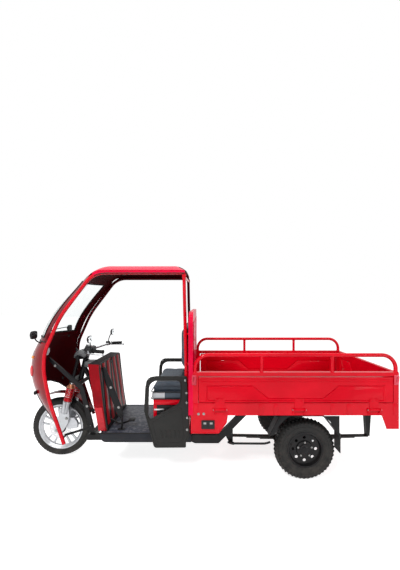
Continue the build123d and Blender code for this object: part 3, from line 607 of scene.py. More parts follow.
# Rear wheels: rolled steel rims with a pressed disc and eight windows, gloss black, held by five zinc nuts
# round a bare hub cap.
GLOSS_BLACK = black_enamel("gloss_black", (0.005, 0.005, 0.006), 0.22)
dress(GLOSS_BLACK, "rear_rim_left", "rear_rim_right")
RIM_LIP = (
    (0.036, 0.1475), (0.0455, 0.149), (0.0475, 0.160), (0.0455, 0.1635), (0.0425, 0.1610), (0.0400, 0.1535),
    (0.036, 0.1530),
)
DISH = (
    (0.019, 0.078), (0.030, 0.072), (0.030, 0.060), (0.033, 0.052), (0.033, 0.046), (0.017, 0.046),
    (0.017, 0.078),
)
STEP = ((0.018, 0.138), (0.022, 0.140), (0.034, 0.1462), (0.034, 0.1475), (0.018, 0.1475))
RIM_RINGS = (
    # name, which way out, section in pairs of width and radius, steps round
    ("rim_lip", 1, RIM_LIP, 72),
    ("inner_lip", -1, RIM_LIP, 72),
    ("dish", 1, DISH, 48),
    ("step", 1, STEP, 72),
)
for side, word in SIDES:
    hub = (REAR_AXLE.x, side * REAR_WHEEL_Y, REAR_AXLE.z)
    turned = [
        lathe(f"{name}_{word}", [(side * out * width, radius) for width, radius in section], hub, steps)
        for name, out, section, steps in RIM_RINGS
    ]
    fit(merged(f"rim_steel_{word}", *turned), GLOSS_BLACK, f"rear_wheel_{word}", "black_steel")
    cap = lathe(f"cap_{word}", [
        (side * 0.030, 0.0), (side * 0.047, 0.0), (side * 0.047, 0.020), (side * 0.043, 0.027),
        (side * 0.041, 0.031), (side * 0.030, 0.032),
    ], hub, 36)
    fit(cap, GLOSS_BLACK, f"rear_wheel_{word}", "black_steel")
    nut_y = side * (REAR_WHEEL_Y + 0.030)
    nuts = []
    for count in range(5):
        angle = 2 * pi * count / 5 + 0.3
        spot = Vector((hub[0] + 0.065 * cos(angle), nut_y, hub[2] + 0.065 * sin(angle)))
        out = Vector((0, side, 0))
        nuts.append(rod(f"nut_{count}", spot, spot + out * 0.009, 0.0095, 6, 0.001))
        nuts.append(rod(f"stud_{count}", spot, spot + out * 0.014, 0.005, 10, 0.001))
    fit(merged(f"wheel_nuts_{word}", *nuts), ZINC, f"rear_wheel_{word}")
    fit(rod(
        f"valve_{word}", (hub[0] + 0.128, side * (REAR_WHEEL_Y + 0.02), hub[2] + 0.045),
        (hub[0] + 0.120, side * (REAR_WHEEL_Y + 0.048), hub[2] + 0.042), 0.004, 10, 0.001,
    ), TREAD, f"rear_wheel_{word}")

# Front wheel: one aluminium casting, with five broad hollow-backed spokes between the hub and a polished
# lip, and a drilled steel brake disc bolted to its left side.
ALLOY = speckled(
    "cast_alloy", (0.56, 0.57, 0.59), (0.34, 0.35, 0.37), (34, 5), (0.30, 0.16, 120, 4),
    (380, 3, 0.0003, 0.35),
    (0.15, 0.5), Metallic=0.85,
)
front_ring = lathe("front_ring", [
    (-0.0275, 0.2280), (-0.0300, 0.2330), (-0.0330, 0.2340), (-0.0335, 0.2250), (-0.0290, 0.2190),
    (-0.0180, 0.2120), (-0.0140, 0.2030), (0.0140, 0.2030), (0.0180, 0.2120), (0.0290, 0.2190),
    (0.0335, 0.2250), (0.0330, 0.2340), (0.0300, 0.2330), (0.0275, 0.2280),
], FRONT_AXLE, 96)
front_hub = lathe("front_hub", [
    (-0.0415, 0.009), (-0.0415, 0.024), (-0.0360, 0.029), (-0.0200, 0.030), (-0.0120, 0.046), (0.0120, 0.046),
    (0.0200, 0.038), (0.0380, 0.050), (0.0415, 0.048), (0.0415, 0.009),
], FRONT_AXLE, 48)
spokes = []
for lean in (-1, 1):
    spoke = plate(f"spoke_{lean}", [
        (lean * 0.010, 0.036), (lean * 0.026, 0.034), (lean * 0.050, 0.207), (lean * 0.028, 0.210),
    ], -0.010, 0.020, soft=0.004)
    spoke.data.transform(Matrix.Translation(FRONT_AXLE))
    spokes.append(spoke)
web = plate(
    "spoke_web", [(-0.013, 0.034), (0.013, 0.034), (0.016, 0.075), (-0.016, 0.075)], -0.008, 0.016,
    soft=0.003,
)
web.data.transform(Matrix.Translation(FRONT_AXLE))
spoke_star = ring_of(merged("front_spokes", *spokes, web), FRONT_AXLE, 5)
soften(spoke_star, 0.0)
fit(merged("rim_front", front_ring, front_hub, spoke_star), ALLOY, "front_wheel", "alloy", "front_rim")

disc = Paint("disc_steel")
swirl = disc.node(
    "VectorMath", {"operation": "DISTANCE"}, {0: disc.place, 1: tuple(FRONT_AXLE)}, output="Value",
)
grooves = (swirl * 4000).sine()
DISC = disc.finish(
    Base_Color=(0.55, 0.55, 0.56), Metallic=1.0, Roughness=0.26 + 0.1 * grooves,
    Normal=disc.bump(grooves, 0.0001, 0.3),
)
dress(DISC, "brake_disc")
dress(ALLOY, "brake_caliper")
fit(lathe("disc_carrier", [
    (0.0465, 0.020), (0.0465, 0.052), (0.0490, 0.056), (0.0490, 0.060), (0.0462, 0.062), (0.0462, 0.020),
], FRONT_AXLE, 48), GLOSS_BLACK, "front_wheel", "black_steel")
disc_bolts = bolts("disc_bolts", [
    (FRONT_AXLE.x + 0.040 * cos(2 * pi * n / 6), 0.0485, FRONT_AXLE.z + 0.040 * sin(2 * pi * n / 6))
    for n in range(6)
], (0, 1, 0), 0.0055, 0.005)
fit(disc_bolts, ZINC, "front_wheel")

# Fork: cast aluminium sliders over chromed stanchions, raked back fourteen degrees, each with a red coil
# spring between its brass-coloured cap and the slider's collar, clamped in two black crowns.
RAKE = radians(14)
LEAN = Vector((-sin(RAKE), 0, cos(RAKE)))
LEG_Y = 0.102


def leg_point(z, side):
    """The centre of a fork leg at a height."""
    stem_x = 1.250 - (z - 0.850) * tan(RAKE)
    return Vector((stem_x + 0.045 / cos(RAKE), side * LEG_Y, z))


dress(ENAMEL, "fork_crown")
dress(ALLOY, "fork_sliders")
chrome = Paint("chrome")
CHROME = chrome.finish(
    Base_Color=(0.50, 0.51, 0.52), Metallic=1.0, Roughness=0.08 + 0.12 * chrome.ramp(
        chrome.noise(70, 6), (0.55, 0.0), (0.8, 1.0)),
)
SPRING_RED = speckled(
    "spring_red", (0.66, 0.012, 0.020), (0.48, 0.006, 0.012), (60, 4), (0.25, 0.2, 150, 3),
    Specular_IOR_Level=0.2, Coat_Weight=0.4, Coat_Roughness=0.12,
)
BRASS = speckled("brass_cap", (0.72, 0.30, 0.16), (0.5, 0.2, 0.1), (50, 4), (0.3, 0.15, 90, 3), Metallic=0.6)
SPRING_TURNS = 6
SPRING_LOW, SPRING_HIGH = 0.640, 0.742
for side, word in SIDES:
    low, high = leg_point(SPRING_LOW, side), leg_point(SPRING_HIGH, side)
    wire = start(
        "circle", f"wire_{word}", vertices=10, radius=0.0060, rotation=(pi / 2, 0, 0),
        location=(0.0365, 0, 0),
    )
    settle(wire)
    shaped(
        wire, "SCREW", axis="Z", angle=2 * pi, iterations=SPRING_TURNS,
        screw_offset=(high - low).length / SPRING_TURNS,
        steps=20, render_steps=20, use_smooth_shade=True,
    )
    bpy.ops.object.mode_set(mode="EDIT")
    bpy.ops.mesh.select_all(action="SELECT")
    bpy.ops.mesh.remove_doubles(threshold=0.0001)
    bpy.ops.mesh.select_non_manifold()
    bpy.ops.mesh.edge_face_add()
    bpy.ops.mesh.select_all(action="SELECT")
    bpy.ops.mesh.normals_make_consistent(inside=False)
    bpy.ops.object.mode_set(mode="OBJECT")
    wire.data.transform(Matrix.Translation(low) @ Matrix.Rotation(-RAKE, 4, "Y"))
    collars = [
        rod(f"collar_low_{word}", leg_point(0.606, side), leg_point(0.618, side), 0.042, 36, 0.003),
        rod(f"collar_step_{word}", leg_point(0.617, side), leg_point(0.634, side), 0.036, 36, 0.003, 0.030),
    ]
    fit(merged(f"coil_{word}", wire, *collars), SPRING_RED, "steering", "spring_red")
    cap = merged(
        f"cap_{word}", rod("seat", leg_point(0.743, side), leg_point(0.753, side), 0.041, 36, 0.003),
        rod("taper", leg_point(0.752, side), leg_point(0.778, side), 0.032, 36, 0.003, 0.024),
    )
    fit(cap, BRASS, "steering")
    tube = rod(f"stanchion_{word}", leg_point(0.598, side), leg_point(0.800, side), 0.0162, 28)
    fit(tube, CHROME, "steering", "chrome")
    collar = rod(f"dust_collar_{word}", leg_point(0.584, side), leg_point(0.6025, side), 0.0415, 40, 0.003)
    rib = rod(f"slider_rib_{word}", leg_point(0.482, side), leg_point(0.492, side), 0.0405, 40, 0.003)
    foot = rod(
        f"axle_boss_{word}", (FRONT_AXLE.x, side * 0.080, FRONT_AXLE.z),
        (FRONT_AXLE.x, side * 0.124, FRONT_AXLE.z),
        0.027, 36, 0.003,
    )
    fit(merged(f"slider_details_{word}", collar, rib, foot), ALLOY, "steering", "alloy")
    nut = bolts(
        f"axle_nut_{word}", [(FRONT_AXLE.x, side * 0.124, FRONT_AXLE.z), (1.362, side * 0.118, 0.425)],
        (0, side, 0), 0.012, 0.009,
    )
    fit(nut, ZINC, "steering")
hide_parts("fork_springs")


# Front fender: a pressed steel arc over the tyre, dark red outside and bare grey inside, with its rim rolled
# to a bead and its two stays bolted to the sliders.
def lacquer(name, colour, deep, rough=0.16, coat=0.25, inside=None, dusty=0.05, top=0.75):
    """Gloss lacquer over a colour, a little deeper in places; inside is a test on the object's own normal and
    the colour laid on there, for some shells and tubes a painted shade on their inner faces.
    """
    paint = Paint(name)
    shade = paint.mix(paint.ramp(paint.noise(3.0, 4), (0.35, 0.0), (0.65, 1.0)), colour, deep)
    gloss, matt = coat, 0.0
    if inside:
        facing, dark = inside(paint)
        shade = paint.mix(facing, shade, dark)
        gloss, matt = (1.0 - facing) * coat, facing * 0.25
    orange_peel = paint.noise(170, 2)
    return paint.finish(
        Base_Color=paint.dust(shade, dusty, top), Roughness=rough + 0.1 * paint.noise(24, 5) + matt,
        Coat_Weight=gloss, Coat_Roughness=0.06, Specular_IOR_Level=0.04,
        Normal=paint.bump(orange_peel, 0.0002, 0.2),
    )


RED = (0.66, 0.002, 0.014)
RED_DEEP = (0.54, 0.001, 0.010)
CRIMSON = (0.72, 0.003, 0.045)
CRIMSON_DEEP = (0.60, 0.002, 0.032)


def normals(paint):
    """The three parts of the surface's own normal."""
    return paint.axes(paint.node("TexCoord", output="Normal"))


def under_fender(paint):
    away = paint.node("VectorMath", {"operation": "SUBTRACT"}, {0: paint.place, 1: tuple(FRONT_AXLE)})
    facing = paint.node(
        "VectorMath", {"operation": "DOT_PRODUCT"}, {0: away, 1: paint.node("TexCoord", output="Normal")},
        output="Value",
    )
    return facing < -0.1, (0.16, 0.16, 0.17)


FENDER_RED = lacquer("fender_red", (0.22, 0.004, 0.010), (0.15, 0.003, 0.007), inside=under_fender)
dress(FENDER_RED, "front_fender")
FENDER_RADIUS = 0.366
rims = []
for flip in (1, -1):
    edge = [
        (
            FRONT_AXLE.x + FENDER_RADIUS * cos(radians(angle)), flip * 0.044,
            FRONT_AXLE.z + FENDER_RADIUS * sin(radians(angle)),
        )
        for angle in range(61, 150, 8)
    ]
    rims.append(bent_bar(f"bead_{flip}", edge, 0.0035, 0.02, 8))
fit(merged("fender_beads", *rims), FENDER_RED, "steering", "dark_red")
stay_bolts = bolts("fender_bolts", [(1.358, 0.049, 0.64), (1.392, 0.049, 0.652)], (0, 1, 0), 0.006, 0.005)
fit(stay_bolts, ZINC, "steering")

# Handlebar: a chromed tube clamped on the stem, with ribbed rubber grips, a switch box and a pivoted lever
# beside each grip, a grey moulded cowl over the clamp, and the lock's housing below it.
BLACK_PLASTIC = speckled(
    "black_plastic", (0.010, 0.010, 0.011), (0.020, 0.020, 0.021), (40, 6), (0.46, 0.12, 30, 4),
    (420, 2, 0.0004, 0.5), (0.06,), Specular_IOR_Level=0.2,
)
dress(CHROME, "handlebar")
GRIP_IN, GRIP_OUT = Vector((1.038, 0.290, 1.150)), Vector((0.918, 0.330, 1.150))
grip_run = (GRIP_OUT - GRIP_IN).normalized()
ribs = [rod("sleeve", GRIP_OUT - grip_run * 0.102, GRIP_OUT + grip_run * 0.004, 0.0155, 28, 0.002)]
for count in range(13):
    spot = GRIP_OUT - grip_run * (0.094 - count * 0.0070)
    ribs.append(rod(f"rib_{count}", spot - grip_run * 0.0018, spot + grip_run * 0.0018, 0.0172, 28, 0.0008))
ribs.append(rod("flange", GRIP_OUT - grip_run * 0.110, GRIP_OUT - grip_run * 0.104, 0.023, 32, 0.0015))
ribs.append(rod("end_knob", GRIP_OUT + grip_run * 0.002, GRIP_OUT + grip_run * 0.008, 0.020, 28, 0.002))
left_grip = merged("grip_left", *ribs)
seal = rubber("seal_rubber", 0.05)
both(left_grip, seal, "steering", "rubber", "grips")

switch_end = GRIP_IN + grip_run * 0.006
switch_box = start("cube", "switch_box", size=1)
switch_box.scale = (0.048, 0.036, 0.044)
switch_box.rotation_euler = (0, 0, atan2(grip_run.y, grip_run.x))
switch_box.location = switch_end - grip_run * 0.028
soften(settle(switch_box), 0.006, 3)
rocker_place, horn_place = (
    switch_end + Vector(offset)
    for offset in ((0.019, -0.017, 0.021), (0.030, -0.018, 0.021))
)
buttons = [
    slab(
        "rocker", rocker_place - Vector((0.006, 0.009, 0.005)),
        rocker_place + Vector((0.006, 0.009, 0.004)), 0.002,
    ),
    rod(
        "horn", horn_place - Vector((-0.008, 0, 0.005)), horn_place + Vector((0.008, 0, 0.005)), 0.006, 18,
        0.001,
    ),
]
both(merged("switch_left", switch_box, *buttons), BLACK_PLASTIC, "steering", "black_plastic")
lever_run = [GRIP_IN + Vector(offset) for offset in (
    (0.024, -0.007, -0.012), (0.014, 0.028, -0.018), (-0.034, 0.062, -0.024), (-0.108, 0.076, -0.026),
    (-0.136, 0.077, -0.024),
)]
lever = bent_bar("lever_left", lever_run, 0.0062, 0.03)
for corner in lever.data.vertices:
    corner.co.z = lever_run[2].z + (corner.co.z - lever_run[2].z) * 0.75
knob = start("uv_sphere", "lever_tip", segments=20, ring_count=12, radius=0.0095, location=lever_run[-1])
settle(knob)
bpy.ops.object.shade_smooth()
perch = slab(
    "lever_perch", GRIP_IN + Vector((0.010, -0.024, -0.026)), GRIP_IN + Vector((0.038, 0.010, 0.006)),
    0.005,
)
both(merged("brake_lever_left", lever, knob, perch), ALLOY, "steering", "alloy")

GREY_PLASTIC = speckled(
    "grey_plastic", (0.060, 0.062, 0.066), (0.15, 0.155, 0.16), (18, 5), (0.4, 0.1, 60, 3),
    (420, 2, 0.0003, 0.4),
)
STEM_X = leg_point(1.060, 1).x - 0.045 / cos(RAKE)
cowl = slab("stem_cowl", (STEM_X - 0.030, -0.080, 1.038), (STEM_X + 0.105, 0.080, 1.120), 0.024)
for corner in cowl.data.vertices:
    corner.co.x += (corner.co.z - 1.075) * -0.5
cowl_vents = [
    slab(
        f"cowl_vent_{n}", (STEM_X + 0.010 + n * 0.018, -0.083, 1.050),
        (STEM_X + 0.020 + n * 0.018, 0.083, 1.085), 0.003,
    )
    for n in range(4)
]
fit(merged("stem_cowl", cowl, *cowl_vents), GREY_PLASTIC, "steering", "black_plastic")
housing = slab("lock_housing", (STEM_X - 0.115, -0.075, 0.940), (STEM_X + 0.005, 0.075, 1.004), 0.022)
lock = rod("lock_barrel", (STEM_X - 0.108, 0.040, 0.978), (STEM_X - 0.122, 0.040, 0.985), 0.014, 28, 0.002)
fit(merged("lock_housing", housing, lock), GREY_PLASTIC, "chassis", "black_plastic")

# Mirrors: round-cornered black housings on bent stalks, screwed into the lever perches through rubber
# boots, with silvered glass that looks back.
mirror_paint = Paint("mirror_glass")
MIRROR = mirror_paint.finish(
    Base_Color=(0.80, 0.83, 0.85), Metallic=1.0, Roughness=0.03 + 0.04 * mirror_paint.noise(20, 3),
)


def oval(middle, wide, tall, count=40):
    """A round-cornered outline, between an ellipse and a rectangle."""
    outline = []
    for step in range(count):
        c, s = cos(2 * pi * step / count), sin(2 * pi * step / count)
        outline.append((
            middle[1] + wide * (abs(c) ** 0.5) * (1 if c > 0 else -1),
            middle[2] + tall * (abs(s) ** 0.5) * (1 if s > 0 else -1),
        ))
    return outline


MIRROR_MIDDLE = Vector((1.036, 0.363, 1.2745))
stalk = bent_bar(
    "stalk", [(1.054, 0.278, 1.158), (1.052, 0.284, 1.195), (1.042, 0.322, 1.250), (1.034, 0.352, 1.268)],
    0.005, 0.02,
)
shell = plate("mirror_shell", oval(MIRROR_MIDDLE, 0.049, 0.034), MIRROR_MIDDLE.x - 0.013, 0.013, "X", 0.003)
back = ball("mirror_back", MIRROR_MIDDLE, (0.015, 0.046, 0.031))
boot = rod("stalk_boot", (1.054, 0.278, 1.150), (1.054, 0.279, 1.172), 0.011, 20, 0.003, 0.007)
both(merged("mirror_left", stalk, shell, back, boot), BLACK_PLASTIC, "steering", "black_plastic", "mirrors")
left_glass = plate(
    "mirror_glass_left", oval(MIRROR_MIDDLE, 0.044, 0.029), MIRROR_MIDDLE.x - 0.0142, 0.0016, "X", 0.0004,
)
both(left_glass, MIRROR, "steering")

# Instrument pod: a grey-black moulding strapped ahead of the bar's middle, with a smoked round dial that
# has one pale ring, in a chromed bezel.
dress(BLACK_PLASTIC, "instrument_pod")
POD_LOW, POD_HIGH = corners_of("instrument_pod")
pod_face = Vector((POD_LOW.x * 0.45 + POD_HIGH.x * 0.55, 0, POD_HIGH.z - 0.008))
fit(rod("dial_bezel", pod_face, pod_face + LEAN * 0.008, 0.038, 48, 0.002), CHROME, "steering", "chrome")
dial_paint = Paint("dial_face")
radial = dial_paint.node(
    "VectorMath", {"operation": "DISTANCE"}, {0: dial_paint.place, 1: tuple(pod_face)}, output="Value",
)
ring_mark = (radial > 0.027) * (radial < 0.030)
DIAL = dial_paint.finish(
    Base_Color=dial_paint.mix(ring_mark, (0.012, 0.013, 0.016), (0.7, 0.7, 0.7)), Roughness=0.12,
    Coat_Weight=1.0,
)
dial = rod("dial", pod_face + LEAN * 0.0065, pod_face + LEAN * 0.0092, 0.034, 48, 0.0004)
fit(dial, DIAL, "steering")

# Cab floor: a folded steel tray, its turned-down sides rounded off at the front, under a mat with a fine
# lozenge pattern that is held down by rubber strips.
mat = Paint("floor_mat")
across, along_y, _ = mat.axes()
lozenge = ((across * 210).sine() * (along_y * 210).sine()).size()
scuffed = mat.ramp(mat.noise(26, 7, 0.75), (0.48, 0.0), (0.7, 1.0))
MAT = mat.finish(
    Base_Color=mat.mix(scuffed * 0.5, (0.018, 0.022, 0.036), (0.30, 0.31, 0.33)),
    Roughness=0.38 + 0.3 * mat.noise(40, 5),
    Normal=mat.bump(lozenge, 0.0012, 0.6),
)
TRAY = speckled(
    "tray_navy", (0.006, 0.007, 0.010), (0.012, 0.014, 0.020), (12, 5), (0.34, 0.2, 50, 4),
    (300, 2, 0.0003, 0.4), (0.10,), Specular_IOR_Level=0.2,
)
TRAY_LOW, TRAY_HIGH = corners_of("floor_board")
FLOOR_TOP = TRAY_HIGH.z
side_wall = [(TRAY_LOW.x, FLOOR_TOP), (TRAY_LOW.x, TRAY_LOW.z), (TRAY_HIGH.x - 0.055, TRAY_LOW.z)]
side_wall += [
    (TRAY_HIGH.x - 0.055 + 0.055 * sin(radians(turn)), TRAY_LOW.z + 0.055 - 0.055 * cos(radians(turn)))
    for turn in range(15, 91, 15)
]
side_wall.append((TRAY_HIGH.x, FLOOR_TOP))
tray_walls = [
    plate(f"tray_wall_{flip}", side_wall, flip * (TRAY_HIGH.y - 0.008) - 0.008, 0.016, soft=0.004)
    for flip in (1, -1)
]
tray_top = slab(
    "tray_top", (TRAY_LOW.x, TRAY_LOW.y + 0.004, FLOOR_TOP - 0.058),
    (TRAY_HIGH.x - 0.001, TRAY_HIGH.y - 0.004, FLOOR_TOP), 0.004,
)
fit(merged("floor_tray", tray_top, *tray_walls), TRAY, "chassis", "black_steel", "floor_board")
floor_mat = slab("floor_mat", (0.432, -0.382, FLOOR_TOP), (0.905, 0.382, FLOOR_TOP + 0.004), 0.0015)
fit(floor_mat, MAT, "chassis", "mat")
edge_trim = [
    slab("edge_near", (0.436, 0.384, FLOOR_TOP), (0.912, 0.399, FLOOR_TOP + 0.006), 0.002),
    slab("edge_front", (0.906, -0.384, FLOOR_TOP), (0.917, 0.384, FLOOR_TOP + 0.005), 0.002),
]
both(merged("floor_trim_left", *edge_trim), seal, "chassis", "rubber")

# Leg shield: a glossy moulded board across the cab, red ridges with painted shade in black in the valleys and
# black across its lowest part, edged with a rubber lip and dipped to a notch where the stem rises behind it.
def top_edge(paint):
    return normals(paint)[2] > 0.6, (0.012, 0.006, 0.007)


shield_side = lacquer("shield_red", (0.30, 0.002, 0.007), (0.17, 0.001, 0.004), 0.25, 0.08, inside=top_edge)
dress(shield_side, "leg_shield")
shield_paint = Paint("shield_red_painted_shade")
_, shield_y, shield_z = shield_paint.axes()
# Black in the pleats' valleys is painted shade; below 0.44 m the whole face is black.
lit_ridge = ((shield_y.size() * 46 + shield_z * 3.2).sine() > -0.25) * (shield_z > 0.44)
SHIELD = shield_paint.finish(
    Base_Color=shield_paint.mix(
        lit_ridge, (0.006, 0.003, 0.004),
        shield_paint.mix(shield_paint.noise(5, 3), (0.56, 0.003, 0.014), (0.22, 0.001, 0.006)),
    ),
    Roughness=0.3 + 0.12 * shield_paint.noise(20, 4), Coat_Weight=0.10, Coat_Roughness=0.1,
    Specular_IOR_Level=0.03, Normal=shield_paint.bump(shield_paint.noise(160, 2), 0.0002, 0.2),
)
SHIELD_HALF = 0.345
shield_line = ((0.389, 0.868), (0.600, 0.900), (1.030, 0.951))


def shield_x(z):
    """How far forward the shield's rear face is at a height."""
    for (z_low, x_low), (z_high, x_high) in zip(shield_line, shield_line[1:]):
        if z <= z_high or z_high == shield_line[-1][0]:
            return x_low + (z - z_low) * (x_high - x_low) / (z_high - z_low)


facets = start("grid", "shield_facets", x_subdivisions=48, y_subdivisions=20, size=1)
for corner in facets.data.vertices:
    spot_y = corner.co.x * 2 * SHIELD_HALF
    rise = corner.co.y + 0.5
    notch = max(0.0, 1 - abs(spot_y) / 0.075) * 0.055
    spot_z = 0.395 + rise * (1.026 - notch - 0.395)
    wave = abs(((abs(spot_y) * 46 + spot_z * 3.2 - 1.57) / pi) % 2 - 1)
    relief = 0.004 + 0.012 * wave * min(1.0, rise * 2.5)
    corner.co = (shield_x(spot_z) - relief, spot_y, spot_z)
shaped(facets, "SOLIDIFY", thickness=0.003, offset=-1)
soften(edited(facets), 0.0, angle=40)
fit(facets, SHIELD, "chassis", "red_plastic")
lip = bent_bar("shield_lip", [
    (0.866, SHIELD_HALF, 0.395), (0.897, SHIELD_HALF, 0.600), (0.947, SHIELD_HALF, 1.028),
    (0.947, 0.08, 1.030),
    (0.942, 0.0, 0.985), (0.947, -0.08, 1.030), (0.947, -SHIELD_HALF, 1.028), (0.897, -SHIELD_HALF, 0.600),
    (0.866, -SHIELD_HALF, 0.395),
], 0.008, 0.03)
fit(lip, seal, "chassis", "rubber")
flank = plate("shield_flank", [
    (0.915, 0.620), (0.985, 0.620), (0.948, 0.400), (0.880, 0.400),
], 0.3502, 0.006, soft=0.002)
pad = plate(
    "flank_pad", [(0.912, 0.520), (0.945, 0.522), (0.938, 0.470), (0.904, 0.468)], 0.3562, 0.004,
    soft=0.001,
)
salmon = lacquer("flank_red", (0.55, 0.035, 0.045), (0.42, 0.02, 0.028), 0.3, 0.15)
both(merged("shield_flank_left", flank, pad), salmon, "chassis", "red_plastic")

# Parking brake bar: a broad black strap from the shield's corner to the floor, held by two bolts, and the
# footbrake's arm bent forward over the mat with its pad.
strap_outline = [
    (0.938, 0.992), (0.905, 1.000), (0.862, 0.915), (0.742, 0.612), (0.722, 0.520), (0.752, 0.498),
    (0.786, 0.540),
    (0.905, 0.855),
]
strap = plate("brake_strap", strap_outline, 0.296, 0.010, soft=0.003)
foot_post = bent_bar(
    "strap_foot", [(0.748, 0.301, 0.540), (0.735, 0.301, 0.470), (0.742, 0.301, FLOOR_TOP)], 0.010, 0.03,
)
foot_plate = slab("strap_plate", (0.712, 0.276, FLOOR_TOP + 0.003), (0.776, 0.326, FLOOR_TOP + 0.009), 0.002)
fit(merged("parking_bar", strap, foot_post, foot_plate), ENAMEL, "chassis", "black_steel")
bar_bolts = bolts(
    "parking_bar_bolts", [(0.846, 0.306, 0.800), (0.770, 0.306, 0.606)], (0, 1, 0), 0.009, 0.006,
)
fit(bar_bolts, ZINC, "chassis")
pedal_arm = bent_bar("pedal_arm", at_width(
    0.235, (0.880, 0.470), (0.840, 0.455), (0.780, 0.418), (0.700, 0.440), (0.660, 0.462),
), 0.009, 0.04)
pedal_pad = slab("pedal_pad", (0.625, 0.195, 0.455), (0.685, 0.275, 0.467), 0.004)
tread_bars = [
    slab(f"pedal_rib_{n}", (0.633 + n * 0.014, 0.200, 0.466), (0.639 + n * 0.014, 0.270, 0.470), 0.001)
    for n in range(4)
]
pedal_boot = rod("pedal_boot", (0.876, 0.235, 0.468), (0.906, 0.235, 0.480), 0.022, 24, 0.004, 0.014)
fit(merged("foot_pedal", pedal_arm, pedal_pad, pedal_boot, *tread_bars), ENAMEL, "chassis", "black_steel")

# Seat box: welded sheet sprayed red, a raised frame pressed round the black battery grille on each side; the
# batteries stand inside.
GLOSS_RED = lacquer("gloss_red", RED, RED_DEEP)
dress(GLOSS_RED, "seat_box")
dress(BLACK_PLASTIC, "battery_pack")
BOX_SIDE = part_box("seat_box")[1][1]
BOX_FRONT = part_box("seat_box")[1][0]
frame_bars = [
    slab("frame_top", (0.110, BOX_SIDE, 0.655), (0.416, BOX_SIDE + 0.012, 0.694), 0.005),
    slab("frame_low", (0.110, BOX_SIDE, 0.430), (0.416, BOX_SIDE + 0.008, 0.455), 0.004),
    slab("frame_front", (0.388, BOX_SIDE, 0.452), (0.416, BOX_SIDE + 0.008, 0.658), 0.004),
    slab("frame_back", (0.110, BOX_SIDE, 0.452), (0.138, BOX_SIDE + 0.008, 0.658), 0.004),
]
both(merged("box_frame_left", *frame_bars), GLOSS_RED, "chassis", "red")
slats = [
    slab(
        f"slat_{n}", (0.140, BOX_SIDE, 0.470 + n * 0.026), (0.386, BOX_SIDE + 0.005, 0.482 + n * 0.026),
        0.002,
    )
    for n in range(7)
]
slats.append(slab("grille_back", (0.138, BOX_SIDE, 0.455), (0.388, BOX_SIDE + 0.001, 0.655), 0.0))
both(merged("box_grille_left", *slats), BLACK_PLASTIC, "chassis", "black_plastic")
bright = Paint("brushed_strip")
STRIP = bright.finish(
    Base_Color=(0.62, 0.62, 0.63), Metallic=1.0,
    Roughness=0.28 + 0.2 * bright.noise(300, 2, stretch=(1, 1, 14)),
)
trim = slab("trim_strip_left", (0.317, BOX_SIDE + 0.004, 0.604), (0.412, BOX_SIDE + 0.011, 0.619), 0.001)
both(trim, STRIP, "chassis", "steel")
door = slab("box_door", (BOX_FRONT, -0.300, 0.420), (BOX_FRONT + 0.005, 0.300, 0.670), 0.003)
fit(door, GLOSS_RED, "chassis", "red")
door_vents = [
    slab(
        f"vent_{n}", (BOX_FRONT + 0.004, -0.220 + n * 0.052, 0.480),
        (BOX_FRONT + 0.009, -0.186 + n * 0.052, 0.600), 0.003,
    )
    for n in range(9)
]
fit(merged("box_vents", *door_vents), BLACK_PLASTIC, "chassis", "black_plastic")

# Seat and backrest: foam pads in slate-blue vinyl with painted sunlight in light grey on the front of the
# seat's sides, sewn round with piping. Each is a slack cover swollen by cloth simulation, with its welts sewn
# on afterwards.
seat_paint = Paint("seat_vinyl")
seat_x, seat_y, seat_z = seat_paint.axes()
weave = (seat_x * 900).sine() * (seat_y * 900).sine() * (seat_z * 900).sine()
on_side = seat_y.size() > 0.348
# A light grey patch on the front of the seat's sides, cut off on a slant, is painted sunlight.
painted_sun_patch = (seat_x - 0.315 > (seat_z - 0.772).math("MAXIMUM", 0.0) * 1.8) * (seat_z < 0.835)
cover = seat_paint.mix(seat_paint.noise(36, 7, 0.75), (0.012, 0.019, 0.032), (0.055, 0.078, 0.105))
cover = seat_paint.mix(on_side * painted_sun_patch * (seat_x < 0.50), cover, (0.46, 0.48, 0.50))
channels = ((seat_y * 2 * pi / 0.123).sine() > 0.975) * (seat_z > 0.80) * (seat_y.size() < 0.33)
crease = 1.0 - channels * 0.9
SEAT = seat_paint.finish(
    Base_Color=seat_paint.mix(channels * 0.7, cover, (0.010, 0.014, 0.022)),
    Roughness=0.5 + 0.12 * seat_paint.noise(60, 4),
    Normal=seat_paint.bump(
        crease, 0.004, 0.6, seat_paint.bump(weave + seat_paint.noise(70, 6) * 2, 0.0005, 0.5),
    ),
)


def pillow(name, low, high, round_off, swell, voxel=0.009):
    """A foam pad: a rounded block remeshed as cloth, blown up a little, and smoothed."""
    pad = slab(name, low, high, 0.0)
    shaped(pad, "BEVEL", width=round_off, segments=4)
    shaped(pad, "REMESH", mode="VOXEL", voxel_size=voxel)
    bpy.ops.object.modifier_add(type="CLOTH")
    cloth = pad.modifiers[-1]
    cloth.settings.quality = 5
    cloth.settings.mass = 0.3
    cloth.settings.tension_stiffness = cloth.settings.compression_stiffness = 18
    cloth.settings.use_pressure = True
    cloth.settings.uniform_pressure_force = 4
    cloth.settings.effector_weights.gravity = 0
    for step in range(1, 21):
        scene.frame_set(step)
    puffed = pad.evaluated_get(bpy.context.evaluated_depsgraph_get())
    reached = [corner.co.copy() for corner in puffed.data.vertices]
    pad.modifiers.remove(cloth)
    scene.frame_set(1)
    for corner, goal in zip(pad.data.vertices, reached):
        move = goal - corner.co
        if move.length > swell:
            move = move.normalized() * swell
        corner.co += move
    shaped(pad, "SUBSURF", levels=1, render_levels=1)
    bpy.ops.object.shade_smooth()
    return pad


def pressed_into(pad, low, high):
    """Keeps a swollen pad between its base and its neighbours."""
    for corner in pad.data.vertices:
        for axis in range(3):
            if low[axis] is not None:
                corner.co[axis] = max(corner.co[axis], low[axis])
            if high[axis] is not None:
                corner.co[axis] = min(corner.co[axis], high[axis])
    return pad


